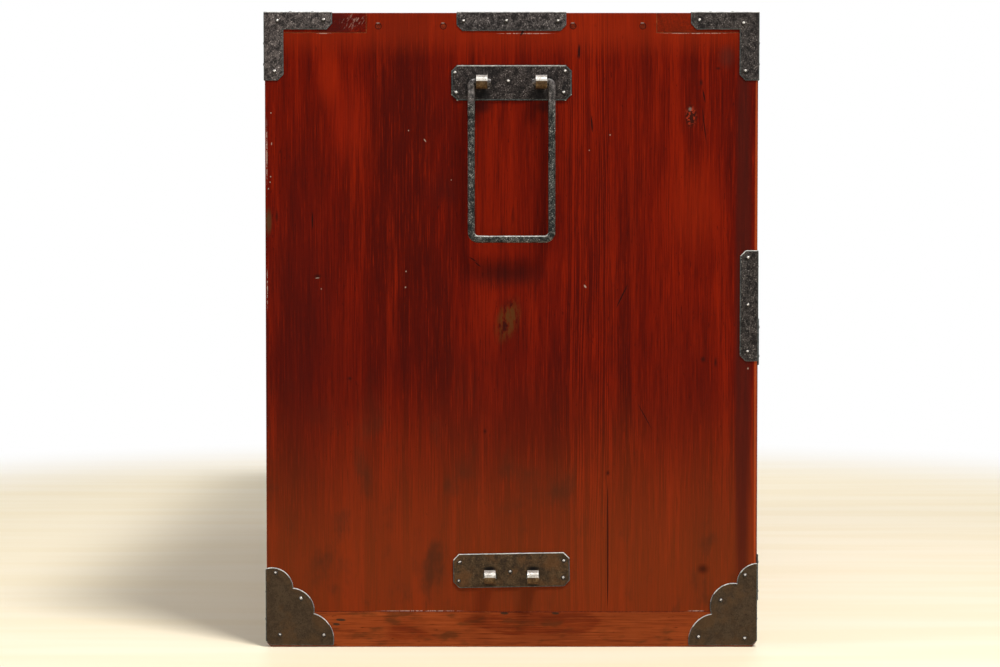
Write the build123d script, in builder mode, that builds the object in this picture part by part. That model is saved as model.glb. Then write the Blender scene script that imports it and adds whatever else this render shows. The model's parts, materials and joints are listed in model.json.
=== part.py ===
from build123d import *
import os

# The upper box of a stacking pair of clothing chests: a board case with box-jointed top corners,
# two wide drawers, forged fittings and a carrying handle on each side.
# Millimetres. +Z is up, the front faces -Y, and the origin is on the ground under the case's middle.

os.makedirs("parts", exist_ok=True)

# ---- Case boards ----
case_width = 1120.0
case_depth = 450.0
case_height = 581.0
side_thick = 20.0
top_thick = 18.0
tail_width = 92.7           # tail of the top board at the front and back of each side
batten_height = 32.5
batten_width = 32.0
batten_chamfer = 4.0
bottom_thick = 8.0
foot_rail_lift = 4.0        # from the ground to the underside of the front and back rails
front_foot_rail_depth = 22.0
back_foot_rail_depth = 28.0
rail_height = 24.0
rail_depth = 30.0
lower_opening_height = 261.5
shelf_thick = 9.0
shelf_dado = 6.0
tenon_length = 8.0
tenon_shoulder = 4.0
back_thick = 8.0
back_rabbet = 8.0
back_top_lap = 6.0          # the planks reach this far up into the top board
plank_count = 6
plank_gap = 0.4

# ---- Pegs through each side's tongue into the top board ----
peg_radius = 2.4
peg_length = 40.0
peg_recess = 0.4
peg_below_top = 12.1
peg_places = [121.3, 62.2, -56.1, -119.6]   # along the depth, front is negative
peg_clearance = 0.05

# ---- Sheet ironwork ----
iron_thick = 1.0
plate_thick = 1.5
iron_cut = 5.3              # cut corners of the corner irons and straps
top_iron_length = 62.5
top_iron_level_width = 16.2
top_iron_upright_width = 18.1
edge_strap_length = 100.0
edge_strap_side_width = 16.5
edge_strap_top_width = 30.0
front_strap_length = 101.6
front_strap_side_width = 16.0
front_strap_front_width = 18.0
rail_strap_length = 76.0    # from the case's side face along the rail
rail_strap_width = 20.0
handle_plate_length = 110.0
handle_plate_width = 32.5
hook_plate_length = 107.0
hook_plate_width = 31.4
hook_plate_above_eyes = 5.1
hook_plate_tilt = 1.0       # degrees, front end up
plate_cut = 5.4
plate_bevel = 0.5
foot_iron_lift = 1.5

# Scalloped foot irons: lobes end at these points, (inward from the case's edge, above the ground),
# and each lobe has its own radius.
foot_lobe_radii = [19.5, 21.6, 25.4]
back_foot_lobes = [(0.0, 72.6), (25.4, 54.7), (44.8, 31.1), (62.3, foot_iron_lift)]
front_foot_lobes = [(0.0, 77.6), (18.9, 59.0), (42.4, 30.7), (62.9, foot_iron_lift)]
foot_face_height = 60.0     # the foot iron's strip up the case's front and back
foot_face_width = 17.5
foot_toe_length = 58.0      # its lobed toe along the foot rail
foot_toe_height = 36.0
foot_toe_waist = 0.64       # where the toe's two lobes meet, as a share of its length and height

# ---- Nails ----
nail_radius = 1.0
nail_length = 12.0
nail_clearance = 0.05
nail_head_radius = 2.2
nail_head_height = 1.5

# ---- Strap eyes and the carrying handles on the sides ----
eye_ring_radius = 6.3
eye_bore_radius = 3.3
eye_standoff = 11.0
eye_width = 10.3
eye_leg_thick = 3.2
clinch_thick = 1.4
clinch_length = 9.0
clinch_cover = 0.2          # the clinched legs lie this far under the board's inner face
slot_clearance = 0.1
handle_below_top = 63.6     # from the case's top down to the handle's pins
handle_eye_half = 27.0
handle_drop = 142.5
handle_section = 6.5
handle_section_round = 1.4
handle_bend = 3.9           # radius of the bar's middle line at its corners
handle_pin_clearance = 0.3
handle_pin_reach = 3.0      # the pins show this far past the eyes
pin_side_play = 0.35        # between an eye and the shoulder of the pin in it
bend_run = 0.2              # straight stretch before each bend
stacking_eye_height = 66.0
stacking_eye_half = 19.7

# ---- Drawers ----
upper_proud = 0.0
lower_proud = 3.2
front_thick = 18.0
front_round = 1.5
front_side_gap = 1.0
run_gap = 0.3
head_gap = 1.2
back_gap = 1.0
drawer_side_thick = 10.0
drawer_back_thick = 10.0
drawer_bottom_thick = 7.0
bottom_rabbet = 5.0
bottom_lap = 6.0
finger_depth = 12.0
finger_count = 5

# ---- Drawer ironwork ----
drawer_iron_length = 42.0
drawer_iron_width = 14.0
drawer_iron_cut = 4.0
drawer_iron_tip_nail = 8.0  # from the end of each arm back to its nail
lip_clearance = 0.4
lock_below_top = 62.0
lock_plate_radius = 46.0
lock_lobe_count = 8
lock_lobe_radius = 15.0
lock_lobe_offset = 39.0
lock_boss_radius = 21.0
lock_boss_bore = 15.0
lock_boss_height = 2.6
lobe_nail_inset = 7.0
keyhole_radius = 3.2
keyhole_slot_width = 3.4
keyhole_slot_drop = 11.0
lock_case_width = 64.0
lock_case_height = 84.0
lock_case_depth = 14.0
lock_case_wall = 1.5
lock_case_below_top = 3.0
bolt_width = 16.0
bolt_thick = 5.0
bolt_length = 48.0
bolt_below_top = 1.0
bolt_clearance = 0.3
bolt_chamfer = 1.0
bolt_ledge = 2.0
bolt_ledge_thick = 3.0
bolt_mortise_depth = 10.0
pull_from_middle = 290.0
pull_below_top = 100.0
pull_plate_length = 104.0
pull_plate_width = 26.0
pull_plate_thick = 1.2
pull_nail_inset = 9.0
pull_nail_rise = 7.0
pull_drop = 42.0
pull_radius = 3.0
pull_corner = 12.0
pull_bend = 3.6
pull_eye_half = 26.5
pull_eye_width = 7.0
pull_eye_ring = 5.0
pull_eye_bore = 2.5
pull_eye_standoff = 9.0
pull_pin_clearance = 0.3
pull_pin_reach = 2.4

# ---- Places worked out from the sizes above ----
half_width = case_width / 2
half_depth = case_depth / 2
inner_half = half_width - side_thick
top_underside = case_height - top_thick
floor_top = batten_height + bottom_thick
rail_bottom = floor_top + lower_opening_height
rail_top = rail_bottom + rail_height
rail_middle = (rail_bottom + rail_top) / 2
back_inner = half_depth - back_thick
front_of_shelf = -half_depth + rail_depth
handle_height = case_height - handle_below_top
tongue_half = half_depth - tail_width
sides = {"left": -1, "right": 1}
ends = {"front": -1, "back": 1}


def save(piece, name):
    """Label a finished piece and write it to its own STEP file."""
    piece.part.label = name
    export_step(piece.part, f"parts/{name}.step")


def block(x, y, z, mode=Mode.ADD):
    """A box between two limits along each axis, given in either order."""
    spans = [sorted(span) for span in (x, y, z)]
    with Locations(tuple((low + high) / 2 for low, high in spans)):
        Box(*(high - low for low, high in spans), mode=mode)


def outline(points):
    """A filled polygon in the current sketch."""
    Polygon(*points, align=None)


def side_place(side, y, z, lift=0.0):
    """A place on the case's left or right face, with its Z outwards."""
    return Plane((side * (half_width + lift), y, z), x_dir=(0, 1, 0), z_dir=(side, 0, 0)).location


def end_place(end, x, z, lift=0.0):
    """A place on the case's front or back face, with its Z outwards."""
    return Plane((x, end * (half_depth + lift), z), x_dir=(1, 0, 0), z_dir=(0, end, 0)).location


def top_place(x, y, lift=0.0):
    """A place on the case's top, with its Z up."""
    return Location((x, y, case_height + lift))


def drill(places, radius, depth):
    """Round holes at places on an outer face, cut inwards to a depth."""
    with Locations(*places):
        Cylinder(radius, 2 * depth, mode=Mode.SUBTRACT)


def drill_for_nails(places):
    drill(places, nail_radius + nail_clearance, nail_length + nail_clearance)


# ---- Outlines that several irons share ----
def corner_iron_points(corner, inward, level, upright):
    """An L with cut inner corners. level and upright are (length, width); inward holds two signs."""
    (level_length, level_width), (upright_length, upright_width) = level, upright
    points = [
        (0, 0),
        (level_length, 0),
        (level_length, level_width - iron_cut),
        (level_length - iron_cut, level_width),
        (upright_width, level_width),
        (upright_width, upright_length - iron_cut),
        (upright_width - iron_cut, upright_length),
        (0, upright_length),
    ]
    return [(corner[0] + inward[0] * u, corner[1] + inward[1] * v) for u, v in points]


def cut_plate(length, width, cut):
    """A rectangle with its four corners cut off, centred on the current place."""
    half_long, half_wide = length / 2, width / 2
    outline(
        [
            (-half_long + cut, -half_wide),
            (half_long - cut, -half_wide),
            (half_long, -half_wide + cut),
            (half_long, half_wide - cut),
            (half_long - cut, half_wide),
            (-half_long + cut, half_wide),
            (-half_long, half_wide - cut),
            (-half_long, -half_wide + cut),
        ]
    )


# ---- Nails: where each fitting is nailed ----
# Corner irons: (along the level arm, down the upright arm) from the iron's outer corner.
corner_nails = {
    "front": [(14.7, 10.7), (55.0, 7.9), (12.8, 54.0)],
    "back": [(12.9, 8.5), (54.8, 7.7), (10.0, 54.3)],
}
corner_top_nails = [(24.0, 8.0), (44.0, 8.0), (8.0, 32.0), (8.0, 53.0)]
corner_face_nails = [(22.0, 8.0), (45.0, 8.0), (9.0, 28.0), (9.0, 47.0)]
edge_strap_side_nails = [43.6, 4.5, -42.5]
edge_strap_top_nails = [38.0, 0.0, -38.0]
edge_strap_nail_drop = 7.6
edge_strap_nail_inset = 24.5
front_strap_side_nails = [44.0, 0.6, -42.0]
front_strap_face_nails = [36.0, -36.0]
front_strap_nail_inset = 8.7
front_strap_face_nail_inset = 9.5
rail_strap_nails = [37.0, 66.0]
handle_plate_nails = [(51.6, 8.8), (50.5, -9.0), (-48.9, 10.4), (-47.6, -9.0), (3.0, 1.4)]
hook_plate_nails = [(47.5, 7.2), (48.5, -10.1), (1.2, -1.5), (-48.0, 8.6), (-47.5, -7.0)]
foot_nails = {
    "front": [(11.4, 66.5), (33.7, 43.3), (54.0, 9.4), (11.5, 8.1)],
    "back": [(9.3, 68.5), (32.6, 44.7), (13.0, 11.4), (53.5, 10.8)],
}
foot_face_nails = [(9.0, 50.0), (9.0, 25.0), (44.0, 13.0)]
hook_plate_height = stacking_eye_height + hook_plate_above_eyes


def side_iron_nails(side):
    """Every nail in the case's left or right face, at the outer face of its iron."""
    thin = []
    for name, end in ends.items():
        edge = end * (half_depth + iron_thick)
        for inward, down in corner_nails[name]:
            thin.append((edge - end * inward, case_height + iron_thick - down))
        for inward, up in foot_nails[name]:
            thin.append((edge - end * inward, up))
    thin += [(y, case_height - edge_strap_nail_drop) for y in edge_strap_side_nails]
    thin += [(-half_depth + front_strap_nail_inset, rail_middle + up) for up in front_strap_side_nails]
    thick = [(y, handle_height + up) for y, up in handle_plate_nails]
    thick += [(y, hook_plate_height + up) for y, up in hook_plate_nails]
    return [side_place(side, y, z, iron_thick) for y, z in thin] + [
        side_place(side, y, z, plate_thick) for y, z in thick
    ]


def end_iron_nails(side, end):
    """The nails of one side's irons in the case's front or back face."""
    edge = side * (half_width + iron_thick)
    spots = [(inward, case_height + iron_thick - down) for inward, down in corner_face_nails]
    spots += foot_face_nails
    if end < 0:
        spots += [(front_strap_face_nail_inset, rail_middle + up) for up in front_strap_face_nails]
        spots += [(inward, rail_middle) for inward in rail_strap_nails]
    return [end_place(end, edge - side * inward, z, iron_thick) for inward, z in spots]


def top_iron_nails(side):
    """The nails of one side's irons in the top board's upper face."""
    edge = side * (half_width + iron_thick)
    places = []
    for end in ends.values():
        corner = end * (half_depth + iron_thick)
        for inward, along in corner_top_nails:
            places.append(top_place(edge - side * along, corner - end * inward, iron_thick))
    places += [top_place(edge - side * edge_strap_nail_inset, y, iron_thick) for y in edge_strap_top_nails]
    return places


def case_nail_places():
    places = []
    for side in sides.values():
        places += side_iron_nails(side) + top_iron_nails(side)
        for end in ends.values():
            places += end_iron_nails(side, end)
    return places


all_case_nails = case_nail_places()

nail_dome = (nail_head_radius**2 + nail_head_height**2) / (2 * nail_head_height)
with BuildPart() as nail:
    with BuildSketch(Plane.XZ):
        with BuildLine():
            Polyline((0, nail_head_height), (0, -nail_length), (nail_radius, -nail_length), (nail_radius, 0))
            Line((nail_radius, 0), (nail_head_radius, 0))
            RadiusArc((nail_head_radius, 0), (0, nail_head_height), -nail_dome)
        make_face()
    revolve(axis=Axis.Z)


# ---- Strap eyes ----
def strap_eye(ring, bore, standoff, width, board):
    """An eye of folded strap: a ring outside, two legs through the board, clinched behind it.
    Its own Z points out of the board's face and the bore runs along its own X."""
    inner_end = clinch_cover - board
    with BuildPart() as eye:
        with BuildSketch(Plane.YZ):
            with Locations((0, standoff)):
                Circle(ring)
            with Locations((0, (standoff + inner_end) / 2)):
                Rectangle(eye_leg_thick, standoff - inner_end)
            with Locations((0, inner_end + clinch_thick / 2)):
                Rectangle(2 * clinch_length, clinch_thick)
            with Locations((0, standoff)):
                Circle(bore, mode=Mode.SUBTRACT)
        extrude(amount=width / 2, both=True)
    return eye.part


def cut_eye_seats(places, width, board):
    """The slot for each eye's legs and the shallow recess for its clinched ends."""
    slot = eye_leg_thick + 2 * slot_clearance
    with Locations(*places):
        Box(width + 2 * slot_clearance, slot, 2 * (board + slot_clearance), mode=Mode.SUBTRACT)
    recess = clinch_thick + clinch_cover
    with Locations(*[place * Pos(0, 0, recess / 2 - board) for place in places]):
        Box(
            width + 2 * slot_clearance,
            2 * (clinch_length + slot_clearance),
            recess,
            mode=Mode.SUBTRACT,
        )


def handle_eye_places(side):
    return [side_place(side, y, handle_height) for y in (-handle_eye_half, handle_eye_half)]


def stacking_eye_places(side):
    return [side_place(side, y, stacking_eye_height) for y in (-stacking_eye_half, stacking_eye_half)]


carry_eye = strap_eye(eye_ring_radius, eye_bore_radius, eye_standoff, eye_width, side_thick)
pull_eye = strap_eye(pull_eye_ring, pull_eye_bore, pull_eye_standoff, pull_eye_width, front_thick)


# ---- Drawer places that the case's boards also need ----
drawers = {
    "upper": {"floor": rail_top, "height": top_underside - rail_top, "proud": upper_proud},
    "lower": {"floor": floor_top, "height": lower_opening_height, "proud": lower_proud},
}


def front_inner_face(proud):
    return -half_depth - proud + front_thick


def bolt_middle(proud):
    return front_inner_face(proud) + lock_case_depth / 2


def cut_bolt_mortise(proud, ceiling):
    """A pocket that the drawer's lock bolt rises into."""
    reach = bolt_thick / 2 + bolt_clearance
    middle = bolt_middle(proud)
    half = bolt_width / 2 + bolt_clearance
    block((-half, half), (middle - reach, middle + reach), (ceiling, ceiling + bolt_mortise_depth), Mode.SUBTRACT)


# ---- Side boards: a tongue rises between the top board's tails ----
for name, side in sides.items():
    with BuildPart() as side_board:
        with BuildSketch(Plane.YZ.offset(side * half_width)):
            with Locations((0, (batten_height + case_height) / 2)):
                Rectangle(case_depth, case_height - batten_height)
            with Locations(*[(end * (half_depth - tail_width / 2), case_height - top_thick / 2) for end in (-1, 1)]):
                Rectangle(tail_width, top_thick, mode=Mode.SUBTRACT)
        extrude(amount=-side * side_thick)
        inner = side * inner_half
        block(
            (inner, inner + side * back_rabbet),
            (back_inner, half_depth),
            (batten_height, top_underside),
            Mode.SUBTRACT,
        )
        block(
            (inner, inner + side * shelf_dado),
            (front_of_shelf, back_inner),
            (rail_top - shelf_thick, rail_top),
            Mode.SUBTRACT,
        )
        block(
            (inner, inner + side * tenon_length),
            (-half_depth + tenon_shoulder, front_of_shelf - tenon_shoulder),
            (rail_bottom + tenon_shoulder, rail_top - tenon_shoulder),
            Mode.SUBTRACT,
        )
        peg_holes = [side_place(side, y, case_height - peg_below_top) for y in peg_places]
        drill(peg_holes, peg_radius + peg_clearance, peg_length)
        drill_for_nails(side_iron_nails(side) + end_iron_nails(side, -1) + end_iron_nails(side, 1))
        cut_eye_seats(handle_eye_places(side) + stacking_eye_places(side), eye_width, side_thick)
    save(side_board, f"side_board_{name}")

# ---- Top board: its tails lie over the sides at the front and back ----
with BuildPart() as top_board:
    with BuildSketch(Plane.XY.offset(top_underside)):
        Rectangle(case_width, case_depth)
        with Locations(*[(side * (half_width - side_thick / 2), 0) for side in (-1, 1)]):
            Rectangle(side_thick, 2 * tongue_half, mode=Mode.SUBTRACT)
    extrude(amount=top_thick)
    planks_half = inner_half + back_rabbet
    block(
        (-planks_half, planks_half),
        (back_inner, half_depth),
        (top_underside, top_underside + back_top_lap),
        Mode.SUBTRACT,
    )
    cut_bolt_mortise(upper_proud, top_underside)
    for side in sides.values():
        drill(
            [side_place(side, y, case_height - peg_below_top) for y in peg_places],
            peg_radius + peg_clearance,
            peg_length,
        )
    drill_for_nails(all_case_nails)
save(top_board, "top_board")

with BuildPart() as wood_pegs:
    for side in sides.values():
        middle = -peg_recess - (peg_length - peg_recess) / 2
        with Locations(*[side_place(side, y, case_height - peg_below_top, middle) for y in peg_places]):
            Cylinder(peg_radius, peg_length - peg_recess)
save(wood_pegs, "wood_pegs")

# ---- Foot: a batten under each side, a rail at the front and back, and the bottom board ----
for name, side in sides.items():
    with BuildPart() as base_batten:
        with BuildSketch(Plane.YZ.offset(side * half_width)):
            with Locations((0, batten_height / 2)):
                Rectangle(case_depth, batten_height)
        extrude(amount=-side * batten_width)
        ground_ends = base_batten.edges().filter_by(Axis.X).group_by(Axis.Z)[0]
        chamfer(ground_ends, batten_chamfer)
        drill_for_nails(side_iron_nails(side) + end_iron_nails(side, -1) + end_iron_nails(side, 1))
    save(base_batten, f"base_batten_{name}")

batten_inner = half_width - batten_width
with BuildPart() as base_rail_front:
    rail_back = -half_depth + front_foot_rail_depth
    block((-batten_inner, batten_inner), (-half_depth, rail_back), (foot_rail_lift, batten_height))
    block((-inner_half, inner_half), (-half_depth, rail_back), (batten_height, floor_top))
    for side in sides.values():
        drill_for_nails(end_iron_nails(side, -1))
save(base_rail_front, "base_rail_front")

with BuildPart() as base_rail_back:
    block(
        (-batten_inner, batten_inner),
        (half_depth - back_foot_rail_depth, half_depth),
        (foot_rail_lift, batten_height),
    )
    for side in sides.values():
        drill_for_nails(end_iron_nails(side, 1))
save(base_rail_back, "base_rail_back")

with BuildPart() as bottom_board:
    block(
        (-inner_half, inner_half),
        (-half_depth + front_foot_rail_depth, back_inner),
        (batten_height, floor_top),
    )
save(bottom_board, "bottom_board")

# ---- Middle rail with stub tenons, and the shelf that the upper drawer runs on ----
with BuildPart() as middle_rail:
    block((-inner_half, inner_half), (-half_depth, front_of_shelf), (rail_bottom, rail_top))
    tenon_end = inner_half + tenon_length
    block(
        (-tenon_end, tenon_end),
        (-half_depth + tenon_shoulder, front_of_shelf - tenon_shoulder),
        (rail_bottom + tenon_shoulder, rail_top - tenon_shoulder),
    )
    cut_bolt_mortise(lower_proud, rail_bottom)
    for side in sides.values():
        drill_for_nails(end_iron_nails(side, -1))
save(middle_rail, "middle_rail")

with BuildPart() as shelf_board:
    shelf_half = inner_half + shelf_dado
    block((-shelf_half, shelf_half), (front_of_shelf, back_inner), (rail_top - shelf_thick, rail_top))
save(shelf_board, "shelf_board")

# ---- Back: upright planks in the rabbets ----
with BuildPart() as back_boards:
    plank_width = (2 * planks_half - (plank_count - 1) * plank_gap) / plank_count
    for plank in range(plank_count):
        start = -planks_half + plank * (plank_width + plank_gap)
        block((start, start + plank_width), (back_inner, half_depth), (batten_height, top_underside + back_top_lap))
save(back_boards, "back_boards")

# ---- Corner irons at the top: an L on the side, on the top and on the front or back ----
level_arm = (top_iron_length, top_iron_level_width)
upright_arm = (top_iron_length, top_iron_upright_width)
top_arm = (top_iron_length, top_iron_level_width)
for end_name, end in ends.items():
    for name, side in sides.items():
        edge_x = side * (half_width + iron_thick)
        edge_y = end * (half_depth + iron_thick)
        edge_z = case_height + iron_thick
        with BuildPart() as top_corner_iron:
            with BuildSketch(Plane.YZ.offset(edge_x)):
                outline(corner_iron_points((edge_y, edge_z), (-end, -1), level_arm, upright_arm))
            extrude(amount=-side * iron_thick)
            with BuildSketch(Plane.XY.offset(edge_z)):
                outline(corner_iron_points((edge_x, edge_y), (-side, -end), top_arm, top_arm))
            extrude(amount=-iron_thick)
            with BuildSketch(Plane.XZ.offset(-edge_y)):
                outline(corner_iron_points((edge_x, edge_z), (-side, -1), level_arm, upright_arm))
            extrude(amount=end * iron_thick)
            drill_for_nails(side_iron_nails(side) + end_iron_nails(side, end) + top_iron_nails(side))
        save(top_corner_iron, f"top_corner_iron_{end_name}_{name}")

# ---- Foot irons: lobed on the side, a strip and a lobed toe on the front or back ----
foot_lobes = {"front": front_foot_lobes, "back": back_foot_lobes}
for end_name, end in ends.items():
    for name, side in sides.items():
        edge_x = side * (half_width + iron_thick)
        edge_y = end * (half_depth + iron_thick)
        with BuildPart() as foot_corner_iron:
            with BuildSketch(Plane.YZ.offset(edge_x)):
                lobe_ends = [(edge_y - end * inward, up) for inward, up in foot_lobes[end_name]]
                with BuildLine():
                    for start, stop, radius in zip(lobe_ends, lobe_ends[1:], foot_lobe_radii):
                        RadiusArc(start, stop, -end * radius)
                    Polyline(
                        lobe_ends[-1],
                        (edge_y - end * (batten_chamfer + iron_thick), foot_iron_lift),
                        (edge_y, batten_chamfer + foot_iron_lift),
                        lobe_ends[0],
                    )
                make_face()
            extrude(amount=-side * iron_thick)
            with BuildSketch(Plane.XZ.offset(-edge_y)):
                face_points = [
                    (0, foot_face_height),
                    (foot_face_width, foot_face_height - foot_face_width / 2),
                    (foot_face_width, foot_toe_height),
                    (foot_toe_waist * foot_toe_length, foot_toe_waist * foot_toe_height),
                    (foot_toe_length, batten_chamfer + foot_iron_lift),
                ]
                spots = [(edge_x - side * inward, up) for inward, up in face_points]
                with BuildLine():
                    RadiusArc(spots[0], spots[1], -side * foot_face_width)
                    Line(spots[1], spots[2])
                    RadiusArc(spots[2], spots[3], -side * foot_toe_height / 2)
                    RadiusArc(spots[3], spots[4], -side * foot_toe_height / 2)
                    Polyline(spots[4], (edge_x, batten_chamfer + foot_iron_lift), spots[0])
                make_face()
            extrude(amount=end * iron_thick)
            drill_for_nails(side_iron_nails(side) + end_iron_nails(side, end))
        save(foot_corner_iron, f"foot_corner_iron_{end_name}_{name}")

# ---- Straps over the top's side edges and round the front edges at the rail ----
for name, side in sides.items():
    edge_x = side * (half_width + iron_thick)
    edge_z = case_height + iron_thick
    half_strap = edge_strap_length / 2
    with BuildPart() as top_edge_strap:
        with BuildSketch(Plane.YZ.offset(edge_x)):
            low = case_height - edge_strap_side_width
            outline(
                [
                    (-half_strap, edge_z),
                    (half_strap, edge_z),
                    (half_strap, low + iron_cut),
                    (half_strap - iron_cut, low),
                    (-half_strap + iron_cut, low),
                    (-half_strap, low + iron_cut),
                ]
            )
        extrude(amount=-side * iron_thick)
        with BuildSketch(Plane.XY.offset(edge_z)):
            inward = edge_x - side * edge_strap_top_width
            outline(
                [
                    (edge_x, -half_strap),
                    (edge_x, half_strap),
                    (inward + side * iron_cut, half_strap),
                    (inward, half_strap - iron_cut),
                    (inward, -half_strap + iron_cut),
                    (inward + side * iron_cut, -half_strap),
                ]
            )
        extrude(amount=-iron_thick)
        drill_for_nails(side_iron_nails(side) + top_iron_nails(side))
    save(top_edge_strap, f"top_edge_strap_{name}")

    half_strap = front_strap_length / 2
    edge_y = -half_depth - iron_thick
    with BuildPart() as front_edge_strap:
        with BuildSketch(Plane.YZ.offset(edge_x)):
            inward = -half_depth + front_strap_side_width
            outline(
                [
                    (edge_y, rail_middle - half_strap),
                    (inward - iron_cut, rail_middle - half_strap),
                    (inward, rail_middle - half_strap + iron_cut),
                    (inward, rail_middle + half_strap - iron_cut),
                    (inward - iron_cut, rail_middle + half_strap),
                    (edge_y, rail_middle + half_strap),
                ]
            )
        extrude(amount=-side * iron_thick)
        with BuildSketch(Plane.XZ.offset(-edge_y)):
            upright = edge_x - side * front_strap_front_width
            tip = edge_x - side * rail_strap_length
            half_rail = rail_strap_width / 2
            outline(
                [
                    (edge_x, rail_middle - half_strap),
                    (upright + side * iron_cut, rail_middle - half_strap),
                    (upright, rail_middle - half_strap + iron_cut),
                    (upright, rail_middle - half_rail),
                    (tip + side * iron_cut, rail_middle - half_rail),
                    (tip, rail_middle - half_rail + iron_cut),
                    (tip, rail_middle + half_rail - iron_cut),
                    (tip + side * iron_cut, rail_middle + half_rail),
                    (upright, rail_middle + half_rail),
                    (upright, rail_middle + half_strap - iron_cut),
                    (upright + side * iron_cut, rail_middle + half_strap),
                    (edge_x, rail_middle + half_strap),
                ]
            )
        extrude(amount=-iron_thick)
        drill_for_nails(side_iron_nails(side) + end_iron_nails(side, -1))
    save(front_edge_strap, f"front_edge_strap_{name}")

# ---- Plates under the handle's eyes and under the stacking eyes ----
for name, side in sides.items():
    outer = Plane.YZ.offset(side * half_width)
    with BuildPart() as handle_plate:
        with BuildSketch(outer):
            with Locations((0, handle_height)):
                cut_plate(handle_plate_length, handle_plate_width, plate_cut)
        extrude(amount=side * plate_thick)
        outer_face = handle_plate.faces().sort_by(Axis.X)[0 if side < 0 else -1]
        chamfer(outer_face.edges(), plate_bevel)
        drill_for_nails(side_iron_nails(side))
        cut_eye_seats(handle_eye_places(side), eye_width, side_thick)
    save(handle_plate, f"handle_plate_{name}")

    with BuildPart() as hook_plate:
        with BuildSketch(outer):
            with Locations(Location((0, hook_plate_height), -hook_plate_tilt)):
                cut_plate(hook_plate_length, hook_plate_width, plate_cut)
        extrude(amount=side * plate_thick)
        drill_for_nails(side_iron_nails(side))
        cut_eye_seats(stacking_eye_places(side), eye_width, side_thick)
    save(hook_plate, f"hook_plate_{name}")

with BuildPart() as strap_eyes:
    for side in sides.values():
        with Locations(*handle_eye_places(side), *stacking_eye_places(side)):
            add(carry_eye)
save(strap_eyes, "strap_eyes")

with BuildPart() as case_nails:
    with Locations(*all_case_nails):
        add(nail.part)
save(case_nails, "case_nails")


# ---- Handles ----
def bail(drop, section, section_round, corner, bend, eye_half, width_of_eye, pin, reach):
    """A hanging handle with its pins in line with its own X at the origin, its bar below, flat in its
    own XY plane. The pins point towards each other through their eyes."""
    pin_start = eye_half + width_of_eye / 2 + pin_side_play
    leg = pin_start + bend_run + bend
    pin_end = eye_half - width_of_eye / 2 - reach
    with BuildPart() as piece:
        with BuildLine() as path:
            FilletPolyline(
                (-pin_start, 0),
                (-leg, 0),
                (-leg, -drop),
                (leg, -drop),
                (leg, 0),
                (pin_start, 0),
                radius=(bend, corner, corner, bend),
            )
        with BuildSketch(Plane(path.line @ 0, z_dir=path.line % 0)):
            if section_round < section / 2:
                RectangleRounded(section, section, section_round)
            else:
                Circle(section / 2)
        sweep(path=path.line)
        for hand in (-1, 1):
            with Locations(Location((hand * (pin_start + pin_end) / 2, 0, 0), (0, 90, 0))):
                Cylinder(pin, pin_start - pin_end)
    return piece.part


carry_bail = bail(
    handle_drop,
    handle_section,
    handle_section_round,
    handle_bend,
    handle_bend,
    handle_eye_half,
    eye_width,
    eye_bore_radius - handle_pin_clearance,
    handle_pin_reach,
)
pull_bail = bail(
    pull_drop,
    2 * pull_radius,
    pull_radius,
    pull_corner,
    pull_bend,
    pull_eye_half,
    pull_eye_width,
    pull_eye_bore - pull_pin_clearance,
    pull_pin_reach,
)

for name, side in sides.items():
    with BuildPart() as carry_handle:
        with Locations(
            Plane(
                (side * (half_width + eye_standoff), 0, handle_height),
                x_dir=(0, side, 0),
                z_dir=(side, 0, 0),
            ).location
        ):
            add(carry_bail)
    save(carry_handle, f"carry_handle_{name}")


# ---- Drawers ----
def cut_keyhole(height, start, stop):
    """The keyhole, a round hole over a slot, cut between two depths along Y."""
    with Locations(Location((0, (start + stop) / 2, height), (90, 0, 0))):
        Cylinder(keyhole_radius, stop - start, mode=Mode.SUBTRACT)
    half_slot = keyhole_slot_width / 2
    block((-half_slot, half_slot), (start, stop), (height - keyhole_slot_drop, height), Mode.SUBTRACT)


def iron_lip(side, up, place, face, proud):
    """The edges of a proud drawer's corner iron that turn back over the front's own edges."""
    x, z = place
    back = -half_depth - lip_clearance
    block((x, x + side * iron_thick), (face - iron_thick, back), (z + up * iron_thick, z - up * drawer_iron_length))
    block((x, x - side * drawer_iron_length), (face - iron_thick, back), (z, z + up * iron_thick))


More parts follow.
